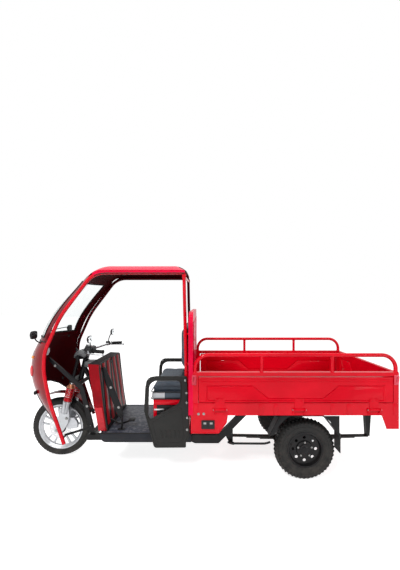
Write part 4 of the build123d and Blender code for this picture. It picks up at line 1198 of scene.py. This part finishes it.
CUSHION_LOW, CUSHION_HIGH = corners_of("seat_cushion")
lower_pad = pillow(
    "seat_base", (CUSHION_LOW.x + 0.006, CUSHION_LOW.y + 0.004, 0.702),
    (CUSHION_HIGH.x - 0.006, CUSHION_HIGH.y - 0.004, 0.772),
    0.018, 0.006,
)
pressed_into(
    lower_pad, (CUSHION_LOW.x, CUSHION_LOW.y, CUSHION_LOW.z),
    (CUSHION_HIGH.x + 0.004, CUSHION_HIGH.y, 0.776),
)
upper_pad = pillow(
    "seat_top", (CUSHION_LOW.x + 0.006, CUSHION_LOW.y + 0.006, 0.776),
    (CUSHION_HIGH.x - 0.004, CUSHION_HIGH.y - 0.006, 0.830),
    0.024, 0.024,
)
pressed_into(
    upper_pad, (CUSHION_LOW.x, CUSHION_LOW.y - 0.004, 0.772),
    (CUSHION_HIGH.x + 0.008, CUSHION_HIGH.y + 0.004, 0.856),
)
for pad in (lower_pad, upper_pad):
    fit(pad, SEAT, "chassis", "seat")
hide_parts("seat_cushion")


def welt(name, corners, radius, bend):
    """A closed run of piping sewn round a pad."""
    route = [Vector(c) for c in corners]
    middle = (route[0] + route[-1]) / 2
    return bent_bar(name, [middle, *route, middle], radius, bend, 8)


def ring_corners(low, high, z):
    return [(low.x, low.y, z), (high.x, low.y, z), (high.x, high.y, z), (low.x, high.y, z)]


for z in (0.774, 0.706):
    fit(
        welt(
            f"seat_piping_{int(z * 1000)}",
            ring_corners(
                CUSHION_LOW + Vector((0.003, 0.003, 0)), CUSHION_HIGH - Vector((0.003, 0.003, 0)), z,
            ),
            0.0045, 0.035,
        ),
        seal, "chassis",
    )

BACK_LOW, BACK_HIGH = corners_of("backrest")
back_pad = pillow(
    "back_cushion", (BACK_LOW.x + 0.002, BACK_LOW.y + 0.008, BACK_LOW.z + 0.008),
    (BACK_HIGH.x - 0.010, BACK_HIGH.y - 0.008, BACK_HIGH.z - 0.008),
    0.020, 0.022,
)
pressed_into(back_pad, (BACK_LOW.x, BACK_LOW.y, BACK_LOW.z), (BACK_HIGH.x + 0.012, BACK_HIGH.y, BACK_HIGH.z))
fit(back_pad, SEAT, "chassis", "seat", "backrest")
back_x = BACK_LOW.x + 0.022
back_ring = [
    (back_x, BACK_LOW.y + 0.002, BACK_LOW.z + 0.002), (back_x, BACK_HIGH.y - 0.002, BACK_LOW.z + 0.002),
    (back_x, BACK_HIGH.y - 0.002, BACK_HIGH.z - 0.002), (back_x, BACK_LOW.y + 0.002, BACK_HIGH.z - 0.002),
]
fit(welt("back_piping", back_ring, 0.0045, 0.04), seal, "chassis")

# Seat guards: injection-moulded black side panels with a raised rim round the window and shallow vertical
# vents below, bolted to the rear post.
GUARD = speckled(
    "guard_plastic", (0.014, 0.014, 0.0135), (0.022, 0.022, 0.021), (8, 5), (0.5, 0.1, 60, 3),
    (520, 2, 0.0004, 0.5),
    (0.06,), Specular_IOR_Level=0.18,
)
dress(GUARD, "seat_guards")
GUARD_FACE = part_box("seat_guards")[1][1]
guard_lines = [
    bent_bar(name, at_width(GUARD_FACE, *line), radius, corner, 8)
    for name, radius, corner, line in (
        ("window_rim", 0.0055, 0.05, (
            (0.300, 0.909), (0.451, 0.909), (0.463, 0.580), (0.443, 0.535), (0.155, 0.694), (0.150, 0.909),
            (0.300, 0.909),
        )),
        ("outer_rim", 0.0050, 0.06, (
            (0.106, 0.937), (0.468, 0.937), (0.486, 0.625), (0.396, 0.290), (0.114, 0.290), (0.114, 0.332),
            (0.080, 0.388), (0.104, 0.937),
        )),
        ("panel_line", 0.0028, 0.02, (
            (0.170, 0.655), (0.420, 0.515), (0.372, 0.330), (0.150, 0.330), (0.128, 0.400), (0.150, 0.655),
            (0.170, 0.655),
        )),
    )
]
vents = [
    slab(
        f"vent_{n}", (0.166 + n * 0.040, GUARD_FACE - 0.001, 0.372),
        (0.184 + n * 0.040, GUARD_FACE + 0.0035, 0.448 - abs(n - 2) * 0.004), 0.003,
    )
    for n in range(5)
]
both(merged("guard_relief_left", *guard_lines, *vents), GUARD, "chassis", "black_plastic")
post_bolts = bolts("post_bolts_left", [
    (0.112, GUARD_FACE, 0.905), (0.100, GUARD_FACE, 0.790), (0.098, GUARD_FACE, 0.700),
    (0.094, GUARD_FACE, 0.560),
    (0.096, GUARD_FACE, 0.450),
], (0, 1, 0), 0.0085, 0.006)
both(post_bolts, ZINC, "chassis")

# Cab pillars and posts: bent steel tube sprayed bright red, with painted shade in maroon on the half that
# looks towards the cab; the crossbars that carry the backrest are welded between the posts.
def painted_shade_inside(paint):
    """1 on walls that look back, down or to the middle, as the shells' insides do, with the dark maroon
    painted there as shade.
    """
    nx, ny, nz = normals(paint)
    _, y, _ = paint.axes()
    return ((nx < -0.25) + (nz < -0.45) + (ny * y < -0.05)).clipped(), (0.040, 0.0008, 0.002)


def painted_shade_cab_side(paint):
    """1 on the half of a tube that looks to the middle of the cab, with the dark maroon painted there as
    shade.
    """
    _, ny, _ = normals(paint)
    _, y, _ = paint.axes()
    return ny * y < -0.02, (0.060, 0.001, 0.003)


PILLAR_RED = lacquer("pillar_red", RED, RED_DEEP, inside=painted_shade_cab_side)
dress(PILLAR_RED, "cab_pillars", "rear_posts")
POST_Y = 0.390
collars = []
for side in (1, -1):
    for foot, head in (((0.0966, 0.395), (0.0972, 0.425)), ((0.1280, 1.862), (0.1286, 1.892))):
        collars.append(rod(
            f"collar_{side}_{foot[1]}", (foot[0], side * POST_Y, foot[1]), (head[0], side * POST_Y, head[1]),
            0.0195, 28, 0.002,
        ))
fit(merged("post_collars", *collars), GLOSS_RED, "chassis", "red")

# Roof: a moulded shell with rounded edges, bright red, with painted shade in deep maroon on its underside;
# its turned-down sides end in a rolled lip with a black rubber strip.
SHELL_RED = lacquer("shell_red", CRIMSON, CRIMSON_DEEP, 0.3, 0.10, inside=painted_shade_inside)
dress(SHELL_RED, "roof_panel")
ROOF_SIDE = corners_of("roof_panel")[1].y
lip_runs = []
for flip in (1, -1):
    lip_line = at_width(flip * (ROOF_SIDE - 0.004), (0.124, 1.9035), (0.880, 1.9035), (0.942, 1.892))
    lip_line.append((0.976, flip * (ROOF_SIDE - 0.006), 1.879))
    lip_runs.append(bent_bar(f"lip_{flip}", lip_line, 0.0052, 0.05, 10))
fit(merged("roof_lip", *lip_runs), seal, "chassis", "rubber")
gutters = []
for flip in (1, -1):
    gutters.append(bent_bar(f"gutter_{flip}", [
        (0.130, flip * (ROOF_SIDE - 0.002), 1.9270), (0.880, flip * (ROOF_SIDE - 0.002), 1.9270),
        (0.930, flip * (ROOF_SIDE - 0.003), 1.9180), (0.965, flip * (ROOF_SIDE - 0.004), 1.9050),
    ], 0.0045, 0.05, 8))
fit(merged("roof_gutters", *gutters), SHELL_RED, "chassis", "red")


def skin_x(names, y, z):
    """How far forward the named nodes reach at a width and height, looked for on both sides of a fine gap."""
    reached = []
    for name in names:
        for shift in (-0.0015, 0.0, 0.0015):
            met, point, _, _ = NODES[name].ray_cast(Vector((2.2, y + shift, z + shift)), Vector((-1, 0, 0)))
            if met:
                reached.append(point.x)
    return max(reached)


# Windshield: clear polycarbonate bowed between the pillars in a red moulded frame, its red darkened as
# painted shade and darker still on its inner faces, with a black rubber seal round it and a pantograph wiper
# at its foot.
FRAME_RED_PAINTED_SHADE = lacquer("frame_red_painted_shade", (0.17, 0.003, 0.008), (0.11, 0.002, 0.006), 0.22, 0.15, inside=painted_shade_inside)
dress(FRAME_RED_PAINTED_SHADE, "windshield_frame")
glass = Paint("clear_glass")
GLASS = glass.finish(
    Base_Color=(0.93, 0.96, 0.96), Roughness=0.0, Transmission_Weight=1.0, IOR=1.2,
)
dress(GLASS, "windshield")
SCREEN = ("windshield_frame", "windshield")
WINDOW = ((0.338, 1.290), (0.314, 1.830))
(wide_y, low_z), (narrow_y, high_z) = WINDOW


def skin_run(names, name, route, proud, radius, steps):
    """A bead laid on the named nodes along straight runs in front view."""
    points = []
    for (y1, z1), (y2, z2) in zip(route, route[1:]):
        for count in range(steps):
            share = count / steps
            y, z = y1 + (y2 - y1) * share, z1 + (z2 - z1) * share
            points.append((skin_x(names, y, z) + proud, y, z))
    y, z = route[-1]
    points.append((skin_x(names, y, z) + proud, y, z))
    return bent_bar(name, points, radius, 0.01, 8)


outline = [(0, low_z), (wide_y, low_z), (narrow_y, high_z), (-narrow_y, high_z), (-wide_y, low_z), (0, low_z)]
fit(skin_run(SCREEN, "window_seal", outline, -0.002, 0.0075, 14), seal, "chassis", "rubber")
inner_line = [(y * 0.985, z + (0.006 if z < 1.5 else -0.006)) for y, z in outline]
fit(skin_run(SCREEN, "window_seal_inner", inner_line, -0.009, 0.006, 14), seal, "chassis", "rubber")
wiper_foot = Vector((skin_x(SCREEN, 0.0, 1.272), 0.0, 1.272))
wiper_tip = Vector((skin_x(SCREEN, -0.150, 1.330), -0.150, 1.330))
arm = bent_bar("wiper_arm", [
    wiper_foot + Vector((0.010, 0, 0)), wiper_foot + Vector((0.022, -0.030, 0.035)),
    wiper_tip + Vector((0.020, 0.040, -0.014)),
    wiper_tip + Vector((0.014, 0, 0)),
], 0.0042, 0.02)
blade_points = []
for share in (-1, -0.5, 0, 0.5, 1):
    y, z = wiper_tip.y - share * 0.130, wiper_tip.z + share * 0.012
    blade_points.append((skin_x(SCREEN, y, z) + 0.006, y, z))
blade = bent_bar("wiper_blade", blade_points, 0.0050, 0.03)
hub = rod("wiper_hub", wiper_foot, wiper_foot + Vector((0.020, 0, 0.004)), 0.014, 28, 0.003)
fit(merged("wiper", arm, blade, hub), BLACK_PLASTIC, "chassis", "black_plastic")

# Nose fairing: a bowed gloss red moulding from the screen down to two tusks beside the wheel, its open edge
# trimmed with black rubber, with a wide headlamp, two small lamps on each cheek and a parking mirror above.
# The nose's red is darkened as painted shade, and its inner faces are darker still as painted shade.
NOSE_RED_PAINTED_SHADE = lacquer("nose_red_painted_shade", (0.30, 0.001, 0.008), (0.18, 0.001, 0.004), 0.2, 0.30, inside=painted_shade_inside)
dress(NOSE_RED_PAINTED_SHADE, "front_fairing")
clear = Paint("lamp_glass")
flute = (clear.axes()[1] * 620).sine()
LAMP = clear.finish(
    Base_Color=clear.mix(clear.noise(9, 3), (0.80, 0.82, 0.84), (0.55, 0.57, 0.60)), Roughness=0.08,
    Metallic=0.25, Coat_Weight=1.0, Normal=clear.bump(flute, 0.001, 0.5),
)
dress(LAMP, "headlamp")
NOSE = ("front_fairing", "headlamp")
LAMP_OUTLINE = ((0.150, 1.035), (0.165, 1.075), (0.150, 1.115))
lamp_ring = [(0, 1.035), *LAMP_OUTLINE, *[(-y, z) for y, z in reversed(LAMP_OUTLINE)], (0, 1.035)]
fit(skin_run(NOSE, "lamp_bezel", lamp_ring, 0.000, 0.007, 6), CHROME, "chassis", "chrome")
ARCH = (
    (0.322, 0.330), (0.296, 0.450), (0.280, 0.600), (0.266, 0.648), (0.226, 0.709), (0.152, 0.753),
    (0.082, 0.767),
)
arch_line = [*ARCH, *[(-y, z) for y, z in reversed(ARCH)]]
fit(skin_run(NOSE, "arch_seal", arch_line, -0.003, 0.0085, 5), seal, "chassis", "rubber")
belt = [(0.375, 1.248), (0.0, 1.248), (-0.375, 1.248)]
fit(skin_run(NOSE, "belt_line", belt, -0.002, 0.006, 20), seal, "chassis", "rubber")


def ribbed_lens(name, first, second, rough, coat):
    paint = Paint(name)
    return paint.finish(
        Base_Color=paint.mix(paint.noise(12, 3), first, second), Roughness=rough, Coat_Weight=coat,
        Normal=paint.bump((paint.axes()[2] * 700).sine(), 0.0008, 0.5),
    )


AMBER = ribbed_lens("amber_lens", (0.85, 0.28, 0.02), (0.65, 0.18, 0.01), 0.1, 1.0)
RED_LENS = ribbed_lens("red_lens", (0.85, 0.05, 0.06), (0.65, 0.02, 0.03), 0.12, 0.6)
for side, word in SIDES:
    tab_x = skin_x(NOSE, side * 0.290, 0.752)
    tab = slab(
        f"cheek_tab_{word}", (tab_x - 0.004, side * 0.290 - 0.030, 0.730),
        (tab_x + 0.020, side * 0.290 + 0.030, 0.764), 0.006,
    )
    fit(tab, BLACK_PLASTIC, "chassis", "black_plastic")
    for label, y, z, wide, tall, material, slot in (
        ("marker", 0.262, 0.950, 0.034, 0.056, RED_LENS, "red_lens"),
        ("parking", 0.262, 1.085, 0.030, 0.018, AMBER, "lamp"),
    ):
        x = skin_x(NOSE, side * y, z)
        slope = (skin_x(NOSE, side * (y + 0.03), z) - skin_x(NOSE, side * (y - 0.03), z)) / 0.06
        lamp = start("uv_sphere", f"{label}_{word}", segments=32, ring_count=16, radius=1)
        lamp.scale = (0.016, wide, tall)
        lamp.rotation_euler = (0, 0, atan2(-slope * side, 1) * side)
        lamp.location = (x, side * y, z)
        settle(lamp)
        for corner in lamp.data.vertices:
            corner.co.x = max(corner.co.x, skin_x(NOSE, corner.co.y, corner.co.z) - 0.002)
        bpy.ops.object.shade_smooth()
        fit(lamp, material, "chassis", slot)
    cheek = skin_x(NOSE, side * 0.300, 1.240)
    stalk = bent_bar(f"cheek_stalk_{word}", [
        (cheek - 0.010, side * 0.300, 1.232), (cheek + 0.018, side * 0.330, 1.248),
        (cheek + 0.022, side * 0.360, 1.280),
        (cheek + 0.022, side * 0.372, 1.300),
    ], 0.006, 0.02)
    middle = Vector((cheek + 0.022, side * 0.382, 1.318))
    head = plate(f"cheek_head_{word}", oval(middle, 0.050, 0.038), middle.x - 0.012, 0.020, "X", 0.005)
    dome = ball(f"cheek_dome_{word}", middle + Vector((0.004, 0, 0)), (0.022, 0.045, 0.034))
    foot = rod(
        f"cheek_foot_{word}", (cheek - 0.012, side * 0.300, 1.232), (cheek + 0.004, side * 0.306, 1.238),
        0.014, 24, 0.003, 0.010,
    )
    fit(merged(f"cheek_mirror_{word}", stalk, head, dome, foot), BLACK_PLASTIC, "chassis", "black_plastic")
visor = slab(
    "lamp_visor", (skin_x(NOSE, 0, 1.125) - 0.004, -0.150, 1.124),
    (skin_x(NOSE, 0, 1.125) + 0.010, 0.150, 1.131), 0.003,
)
for corner in visor.data.vertices:
    corner.co.x += skin_x(NOSE, corner.co.y, 1.128) - skin_x(NOSE, 0, 1.128)
fit(visor, BLACK_PLASTIC, "chassis", "black_plastic")
tusk_bolts = bolts("tusk_bolts", [(1.279, 0.374, 0.340)], (0, -1, 0), 0.010, 0.008)
both(tusk_bolts, ZINC, "chassis")

# Load bed: a tray of folded sheet with long pressed ribs, on sills stiffened by short gussets, and a
# headboard with two pressed panels in front of it. All gloss red, scuffed where loads slide.
def bed_scuffs(paint):
    _, _, z = paint.axes()
    rub = paint.ramp(paint.noise(7, 9, 0.8, stretch=(0.5, 3, 3)), (0.60, 0.0), (0.70, 1.0))
    rub = rub * (z > 0.744) * (z < 0.770)
    return rub * 0.6, (0.20, 0.05, 0.05)


BED_RED = lacquer("bed_red", RED, RED_DEEP, 0.15, 0.22, inside=bed_scuffs)
HEAD_RED = lacquer("head_red", CRIMSON, CRIMSON_DEEP, 0.25, 0.05)
dress(BED_RED, "bed_floor")
dress(HEAD_RED, "headboard")
BED_LOW, BED_HIGH = corners_of("bed_floor")
BED_TOP = BED_HIGH.z
ribs = []
for count in range(9):
    y = -0.480 + count * 0.120
    ribs.append(
        slab(
            f"rib_{count}", (BED_LOW.x + 0.060, y - 0.022, BED_TOP - 0.002),
            (BED_HIGH.x - 0.030, y + 0.022, BED_TOP + 0.005), 0.004,
        ),
    )
fit(merged("floor_ribs", *ribs), BED_RED, "chassis", "red")
HEAD_LOW, HEAD_HIGH = corners_of("headboard")
presses = []
for x, out in ((HEAD_LOW.x, -1), (HEAD_HIGH.x, 1)):
    for flip in (1, -1):
        low_y, high_y = sorted((flip * 0.045, flip * 0.530))
        near, far = sorted((x, x + out * 0.005))
        presses.append(slab(f"press_{out}_{flip}", (near, low_y, 1.060), (far, high_y, 1.450), 0.004))
    near, far = sorted((x, x + out * 0.004))
    presses.append(slab(f"band_{out}", (near, -0.540, 1.005), (far, 0.540, 1.030), 0.003))
fit(merged("headboard_presses", *presses), HEAD_RED, "chassis", "red")
sill_face = BED_HIGH.y
gussets = []
for x in (0.010, -0.560, -0.690, -1.190, -1.330, -1.735):
    gussets.append(
        slab(
            f"gusset_{x}", (x - 0.020, sill_face - 0.001, BED_LOW.z + 0.004),
            (x + 0.020, sill_face + 0.004, BED_HIGH.z - 0.006), 0.002,
        ),
    )
seam = slab(
    "sill_seam", (BED_LOW.x + 0.004, sill_face - 0.001, BED_HIGH.z - 0.012),
    (BED_HIGH.x - 0.002, sill_face + 0.003, BED_HIGH.z - 0.004), 0.001,
)
both(merged("sill_gussets_left", seam, *gussets), BED_RED, "chassis", "red")
both(bolts("sill_bolts_left", [
    (-0.012, sill_face + 0.003, 0.652), (-0.058, sill_face, 0.652),
], (0, 1, 0), 0.0085, 0.007), ZINC, "chassis")

# Side rails: square end posts with a bent guard tube welded on, capped on top, and a spring latch hooked
# over the end of each drop board.
dress(BED_RED, "side_rail_left", "side_rail_right")
TUBE_Y = 0.580
welds = []
for x in (-0.569, -1.190):
    welds.append(rod(f"weld_{x}", (x, TUBE_Y, 1.014), (x, TUBE_Y, 1.021), 0.019, 20, 0.003, 0.0155))
    welds.append(rod(f"weld_top_{x}", (x, TUBE_Y, 1.141), (x, TUBE_Y, 1.147), 0.0155, 20, 0.003, 0.018))
for x in (BED_HIGH.x - 0.017, BED_LOW.x + 0.017):
    welds.append(rod(f"foot_{x}", (x, TUBE_Y, 1.014), (x, TUBE_Y, 1.022), 0.0215, 24, 0.003, 0.0175))
both(merged("rail_welds_left", *welds), BED_RED, "chassis", "red")
latch_red = lacquer("latch_red", (0.75, 0.10, 0.14), (0.60, 0.05, 0.08), 0.25, 0.2)
for label, x in (("front", 0.026), ("rear", -1.744)):
    loop = bent_bar(f"latch_loop_{label}", [
        (x - 0.010, 0.600, 0.975), (x - 0.012, 0.618, 0.985), (x + 0.014, 0.618, 0.985),
        (x + 0.017, 0.618, 0.925),
        (x - 0.006, 0.618, 0.919), (x - 0.012, 0.618, 0.985),
    ], 0.0048, 0.010)
    plate_back = slab(f"latch_plate_{label}", (x - 0.018, 0.600, 0.905), (x + 0.019, 0.604, 0.992), 0.002)
    hook = rod(f"latch_pin_{label}", (x, 0.602, 0.930), (x, 0.621, 0.930), 0.006, 16, 0.001)
    both(merged(f"latch_{label}_left", loop, plate_back, hook), latch_red, "chassis", "red")

# Drop boards and tailgate: double-skinned pressed panels with a raised middle in each recess and a rolled
# top edge, hung on strap hinges whose knuckles turn on zinc pins.
BOARD_RED = lacquer("board_red", RED, RED_DEEP, 0.13, 0.12)
dress(BOARD_RED, "side_board_left", "side_board_right", "tailgate", "hinge_leaves")
BOARD_LOW, BOARD_HIGH = corners_of("side_board_left")
OUTER_FACE = 0.600
HINGES = (-0.200, -0.892, -1.548)
HINGE_Y, HINGE_Z = 0.612, 0.690
STRAP_BOLT_Z = 0.770
bead_top = bent_bar("top_bead", [
    (BOARD_LOW.x + 0.004, OUTER_FACE - 0.002, BOARD_HIGH.z - 0.009),
    (BOARD_HIGH.x - 0.004, OUTER_FACE - 0.002, BOARD_HIGH.z - 0.009),
], 0.007, 0.01)
bead_low = bent_bar("low_bead", [
    (BOARD_LOW.x + 0.004, OUTER_FACE - 0.001, 0.7565), (BOARD_HIGH.x - 0.004, OUTER_FACE - 0.001, 0.7565),
], 0.0045, 0.01)
mid = bent_bar("mid_bead", [
    (BOARD_LOW.x + 0.030, OUTER_FACE, 0.936), (BOARD_HIGH.x - 0.030, OUTER_FACE, 0.936),
], 0.0035, 0.01)
board_middle = (BOARD_LOW.x + BOARD_HIGH.x) / 2
both(merged("board_beads_left", bead_top, bead_low, mid), BOARD_RED, "board_left", "red")
PANEL_LOW, PANEL_THICK = 0.752, 0.030
CREST, PRESS_DEEP = 0.0003, 0.0076
FOOT_STEPS = (0.012, 0.010, 0.010, 0.009, 0.010, 0.010, 0.012, 0.008)
CREST_STEPS = (0.026, 0.028, 0.026, 0.017, 0.026, 0.028, 0.026, 0.011)


def inset(outline, steps):
    """An outline drawn in towards its middle, each side by its own step."""
    sides = []
    for (u1, v1), (u2, v2), step in zip(outline, outline[1:] + outline[:1], steps):
        run = Vector((u2 - u1, v2 - v1)).normalized()
        sides.append((Vector((u1 + run.y * step, v1 - run.x * step)), run))
    corners = []
    for count, (spot, run) in enumerate(sides):
        before, back = sides[count - 1]
        corners.append(before + back * ((spot - before).cross(run) / back.cross(run)))
    return corners


def plateau(name, length, top, place):
    """The raised middle of a pressed panel, standing in the recess of one face with a groove round it."""
    end = length / 2 - 0.065
    pressing = [
        (-end, PANEL_LOW + 0.008), (-end, top - 0.072), (-length * 0.22, top - 0.072),
        (-length * 0.14, PANEL_LOW + 0.038),
        (length * 0.14, PANEL_LOW + 0.038), (length * 0.22, top - 0.072), (end, top - 0.072),
        (end, PANEL_LOW + 0.008),
    ]
    foot, crest = inset(pressing, FOOT_STEPS), inset(pressing, CREST_STEPS)
    piece = start("circle", name, vertices=8, fill_type="NGON")
    for corner, (u, v) in zip(piece.data.vertices, crest):
        corner.co = (u, v, -CREST)
    edited(piece, ("extrude_region_move", {"TRANSFORM_OT_translate": {"value": (0, 0, CREST - PRESS_DEEP)}}))
    for corner in piece.data.vertices:
        u, v, depth = corner.co
        if depth < -PRESS_DEEP / 2:
            nearest = min(range(8), key=lambda n: (crest[n] - Vector((u, v))).length)
            u, v = foot[nearest]
        corner.co = place(u, depth, v)
    return soften(edited(piece), 0.0012)


board_long = BOARD_HIGH.x - BOARD_LOW.x
left_press = merged(
    "board_press_left",
    plateau("press_out", board_long, BOARD_HIGH.z, lambda u, d, v: (board_middle + u, OUTER_FACE + d, v)),
    plateau(
        "press_in", board_long, BOARD_HIGH.z, lambda u, d,
        v: (board_middle + u, OUTER_FACE - PANEL_THICK - d, v),
    ),
)
both(left_press, BOARD_RED, "board_left", "red")
GATE_HIGH = corners_of("tailgate")[1]
GATE_X, gate_long = -1.767, 2 * GATE_HIGH.y
gate_press = merged(
    "gate_press",
    plateau("gate_press_out", gate_long, GATE_HIGH.z, lambda u, d, v: (GATE_X - d, u, v)),
    plateau("gate_press_in", gate_long, GATE_HIGH.z, lambda u, d, v: (GATE_X + PANEL_THICK + d, u, v)),
)
fit(gate_press, BOARD_RED, "tail_board", "red")
both(bolts("strap_bolts_left", [
    (x + dx, OUTER_FACE + 0.005, STRAP_BOLT_Z) for x in HINGES for dx in (-0.022, 0.022)
], (0, 1, 0), 0.0075, 0.005), BOARD_RED, "board_left")
both(bolts("leaf_bolts_left", [
    (x + dx, OUTER_FACE + 0.004, 0.6535) for x in HINGES for dx in (-0.036, 0.036)
], (0, 1, 0), 0.0065, 0.005), BOARD_RED, "chassis")
pin_ends = []
for x in HINGES:
    for end in (-1, 1):
        inner_end, outer_end = ((x + end * reach, HINGE_Y, HINGE_Z) for reach in (0.056, 0.061))
        pin_ends.append(rod(f"pin_{x}_{end}", inner_end, outer_end, 0.0068, 20, 0.0015))
both(merged("hinge_pin_heads_left", *pin_ends), ZINC, "chassis")

reflector = Paint("red_reflector")
rx, ry, rz = reflector.axes()
prism = ((rx + ry) * 900).sine() * (rz * 900).sine()
REFLECTOR = reflector.finish(
    Base_Color=reflector.mix(prism > 0.0, (0.62, 0.012, 0.010), (0.42, 0.006, 0.006)), Roughness=0.12,
    Coat_Weight=1.0,
    Normal=reflector.bump(prism, 0.0006, 0.5),
)
gate_beads = [
    bent_bar("gate_top", [(GATE_X + 0.002, -0.548, 1.006), (GATE_X + 0.002, 0.548, 1.006)], 0.007, 0.01),
    bent_bar("gate_low", [(GATE_X + 0.001, -0.548, 0.7565), (GATE_X + 0.001, 0.548, 0.7565)], 0.0045, 0.01),
]
fit(merged("gate_beads", *gate_beads), BOARD_RED, "tail_board", "red")
gate_bolts = bolts("gate_bolts", [
    (GATE_X - 0.005, y + dy, STRAP_BOLT_Z) for y in (-0.380, 0.380) for dy in (-0.022, 0.022)
], (-1, 0, 0), 0.0075, 0.005)
fit(gate_bolts, BOARD_RED, "tail_board")

# Front skirts: folded red panels below the bed's front corners, with a round fold along the lower edge and
# a black switch box that has two covers, each with a zinc rocker.
dress(BED_RED, "front_skirts")
fold = bent_bar("skirt_fold", at_width(
    sill_face - 0.001, (0.050, 0.483), (-0.189, 0.483), (-0.257, 0.577), (-0.264, 0.632),
), 0.0045, 0.01)
both(merged("skirt_fold_left", fold), BED_RED, "chassis", "red")
case = slab("switch_case", (-0.153, sill_face - 0.001, 0.521), (-0.037, sill_face + 0.010, 0.598), 0.005)
cover_plates = [
    slab(
        f"switch_cover_{n}", (-0.146 + n * 0.055, sill_face + 0.008, 0.530),
        (-0.100 + n * 0.055, sill_face + 0.014, 0.590), 0.004,
    )
    for n in range(2)
]
both(merged("switch_case_left", case, *cover_plates), BLACK_PLASTIC, "chassis", "black_plastic")
toggles = [
    slab(
        f"rocker_{n}", (-0.135 + n * 0.055, sill_face + 0.013, 0.566),
        (-0.111 + n * 0.055, sill_face + 0.018, 0.584), 0.002,
    )
    for n in range(2)
]
both(merged("rockers_left", *toggles), ZINC, "chassis")

# Mudguards and flaps: folded black steel over each rear wheel with a stiffening bead along both edges, and
# a ribbed rubber flap clamped to the rear edge.
dress(ENAMEL, "mudguards")
flap_paint = Paint("flap_rubber")
flap_y = flap_paint.axes()[1]
FLAP = flap_paint.finish(
    Base_Color=flap_paint.dust(
        flap_paint.mix(flap_paint.noise(30, 5), (0.010, 0.010, 0.011), (0.020, 0.020, 0.020)), 0.25,
    ),
    Roughness=0.62 + 0.15 * flap_paint.noise(40, 4),
    Normal=flap_paint.bump((flap_y * 330).sine(), 0.0015, 0.6),
)
dress(FLAP, "mud_flaps")
FLAP_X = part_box("mud_flaps")[0][0]
edges = []
for y in (0.5085, 0.3865):
    edge = at_width(y, (-0.653, 0.414), (-0.746, 0.599), (-1.150, 0.599), (-1.288, 0.428))
    edges.append(bent_bar(f"bead_{y}", edge, 0.0048, 0.025, 8))
for label, outline in (
    (
        "front",
        [
            (-0.653, 0.414), (-0.746, 0.599), (-0.850, 0.599), (-0.802, 0.574), (-0.742, 0.512),
            (-0.694, 0.424),
        ],
    ),
    ("rear", [(-1.150, 0.599), (-1.288, 0.599), (-1.288, 0.428), (-1.252, 0.452), (-1.205, 0.545)]),
):
    edges.append(plate(f"side_wall_{label}", outline, 0.506, 0.0025, soft=0.0008))
clamp = slab("flap_clamp", (FLAP_X - 0.004, 0.392, 0.412), (FLAP_X + 0.0005, 0.503, 0.434), 0.002)
both(merged("mudguard_beads_left", clamp, *edges), ENAMEL, "chassis", "black_steel")
flap_bolts = bolts(
    "flap_bolts_left", [(FLAP_X - 0.004, y, 0.423) for y in (0.410, 0.4475, 0.485)], (-1, 0, 0), 0.006,
    0.005,
)
both(flap_bolts, ZINC, "chassis")

# Tail: a red cross panel with a bare plate pad, three-part lamps with ribbed lenses in black bezels, and
# two round red reflectors.
dress(BED_RED, "tail_panel")
lens = Paint("tail_lens")
_, lens_y, lens_z = lens.axes()
outer = lens_y.size() > 0.492
middle = (lens_y.size() > 0.448) * (1 - outer)
colour = lens.mix(outer, (0.60, 0.010, 0.008), (0.80, 0.26, 0.02))
colour = lens.mix(middle, colour, (0.72, 0.70, 0.68))
LENS = lens.finish(
    Base_Color=colour, Roughness=0.1, Coat_Weight=1.0,
    Normal=lens.bump((lens_y * 520).sine() + (lens_z * 520).sine(), 0.001, 0.4),
)
dress(LENS, "tail_lamps")
TAIL_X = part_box("tail_lamps")[0][0]
bezels = [
    slab("bezel_top", (TAIL_X - 0.002, 0.396, 0.621), (TAIL_X + 0.008, 0.544, 0.627), 0.002),
    slab("bezel_low", (TAIL_X - 0.002, 0.396, 0.551), (TAIL_X + 0.008, 0.544, 0.557), 0.002),
    slab("bezel_in", (TAIL_X - 0.002, 0.394, 0.551), (TAIL_X + 0.008, 0.400, 0.627), 0.002),
    slab("bezel_out", (TAIL_X - 0.002, 0.540, 0.551), (TAIL_X + 0.008, 0.546, 0.627), 0.002),
]
both(merged("lamp_bezel_left", *bezels), BLACK_PLASTIC, "chassis", "black_plastic")
for side, word in SIDES:
    disc_back = rod(
        f"reflector_{word}", (GATE_X + 0.001, side * 0.250, 0.586), (GATE_X - 0.006, side * 0.250, 0.586),
        0.030, 36, 0.002,
    )
    fit(disc_back, REFLECTOR, "chassis", "red_lens")
pad_bolts = bolts("plate_pad_bolts", [(-1.770, y, 0.589) for y in (-0.110, 0.110)], (-1, 0, 0), 0.006, 0.0012)
fit(pad_bolts, ZINC, "chassis")
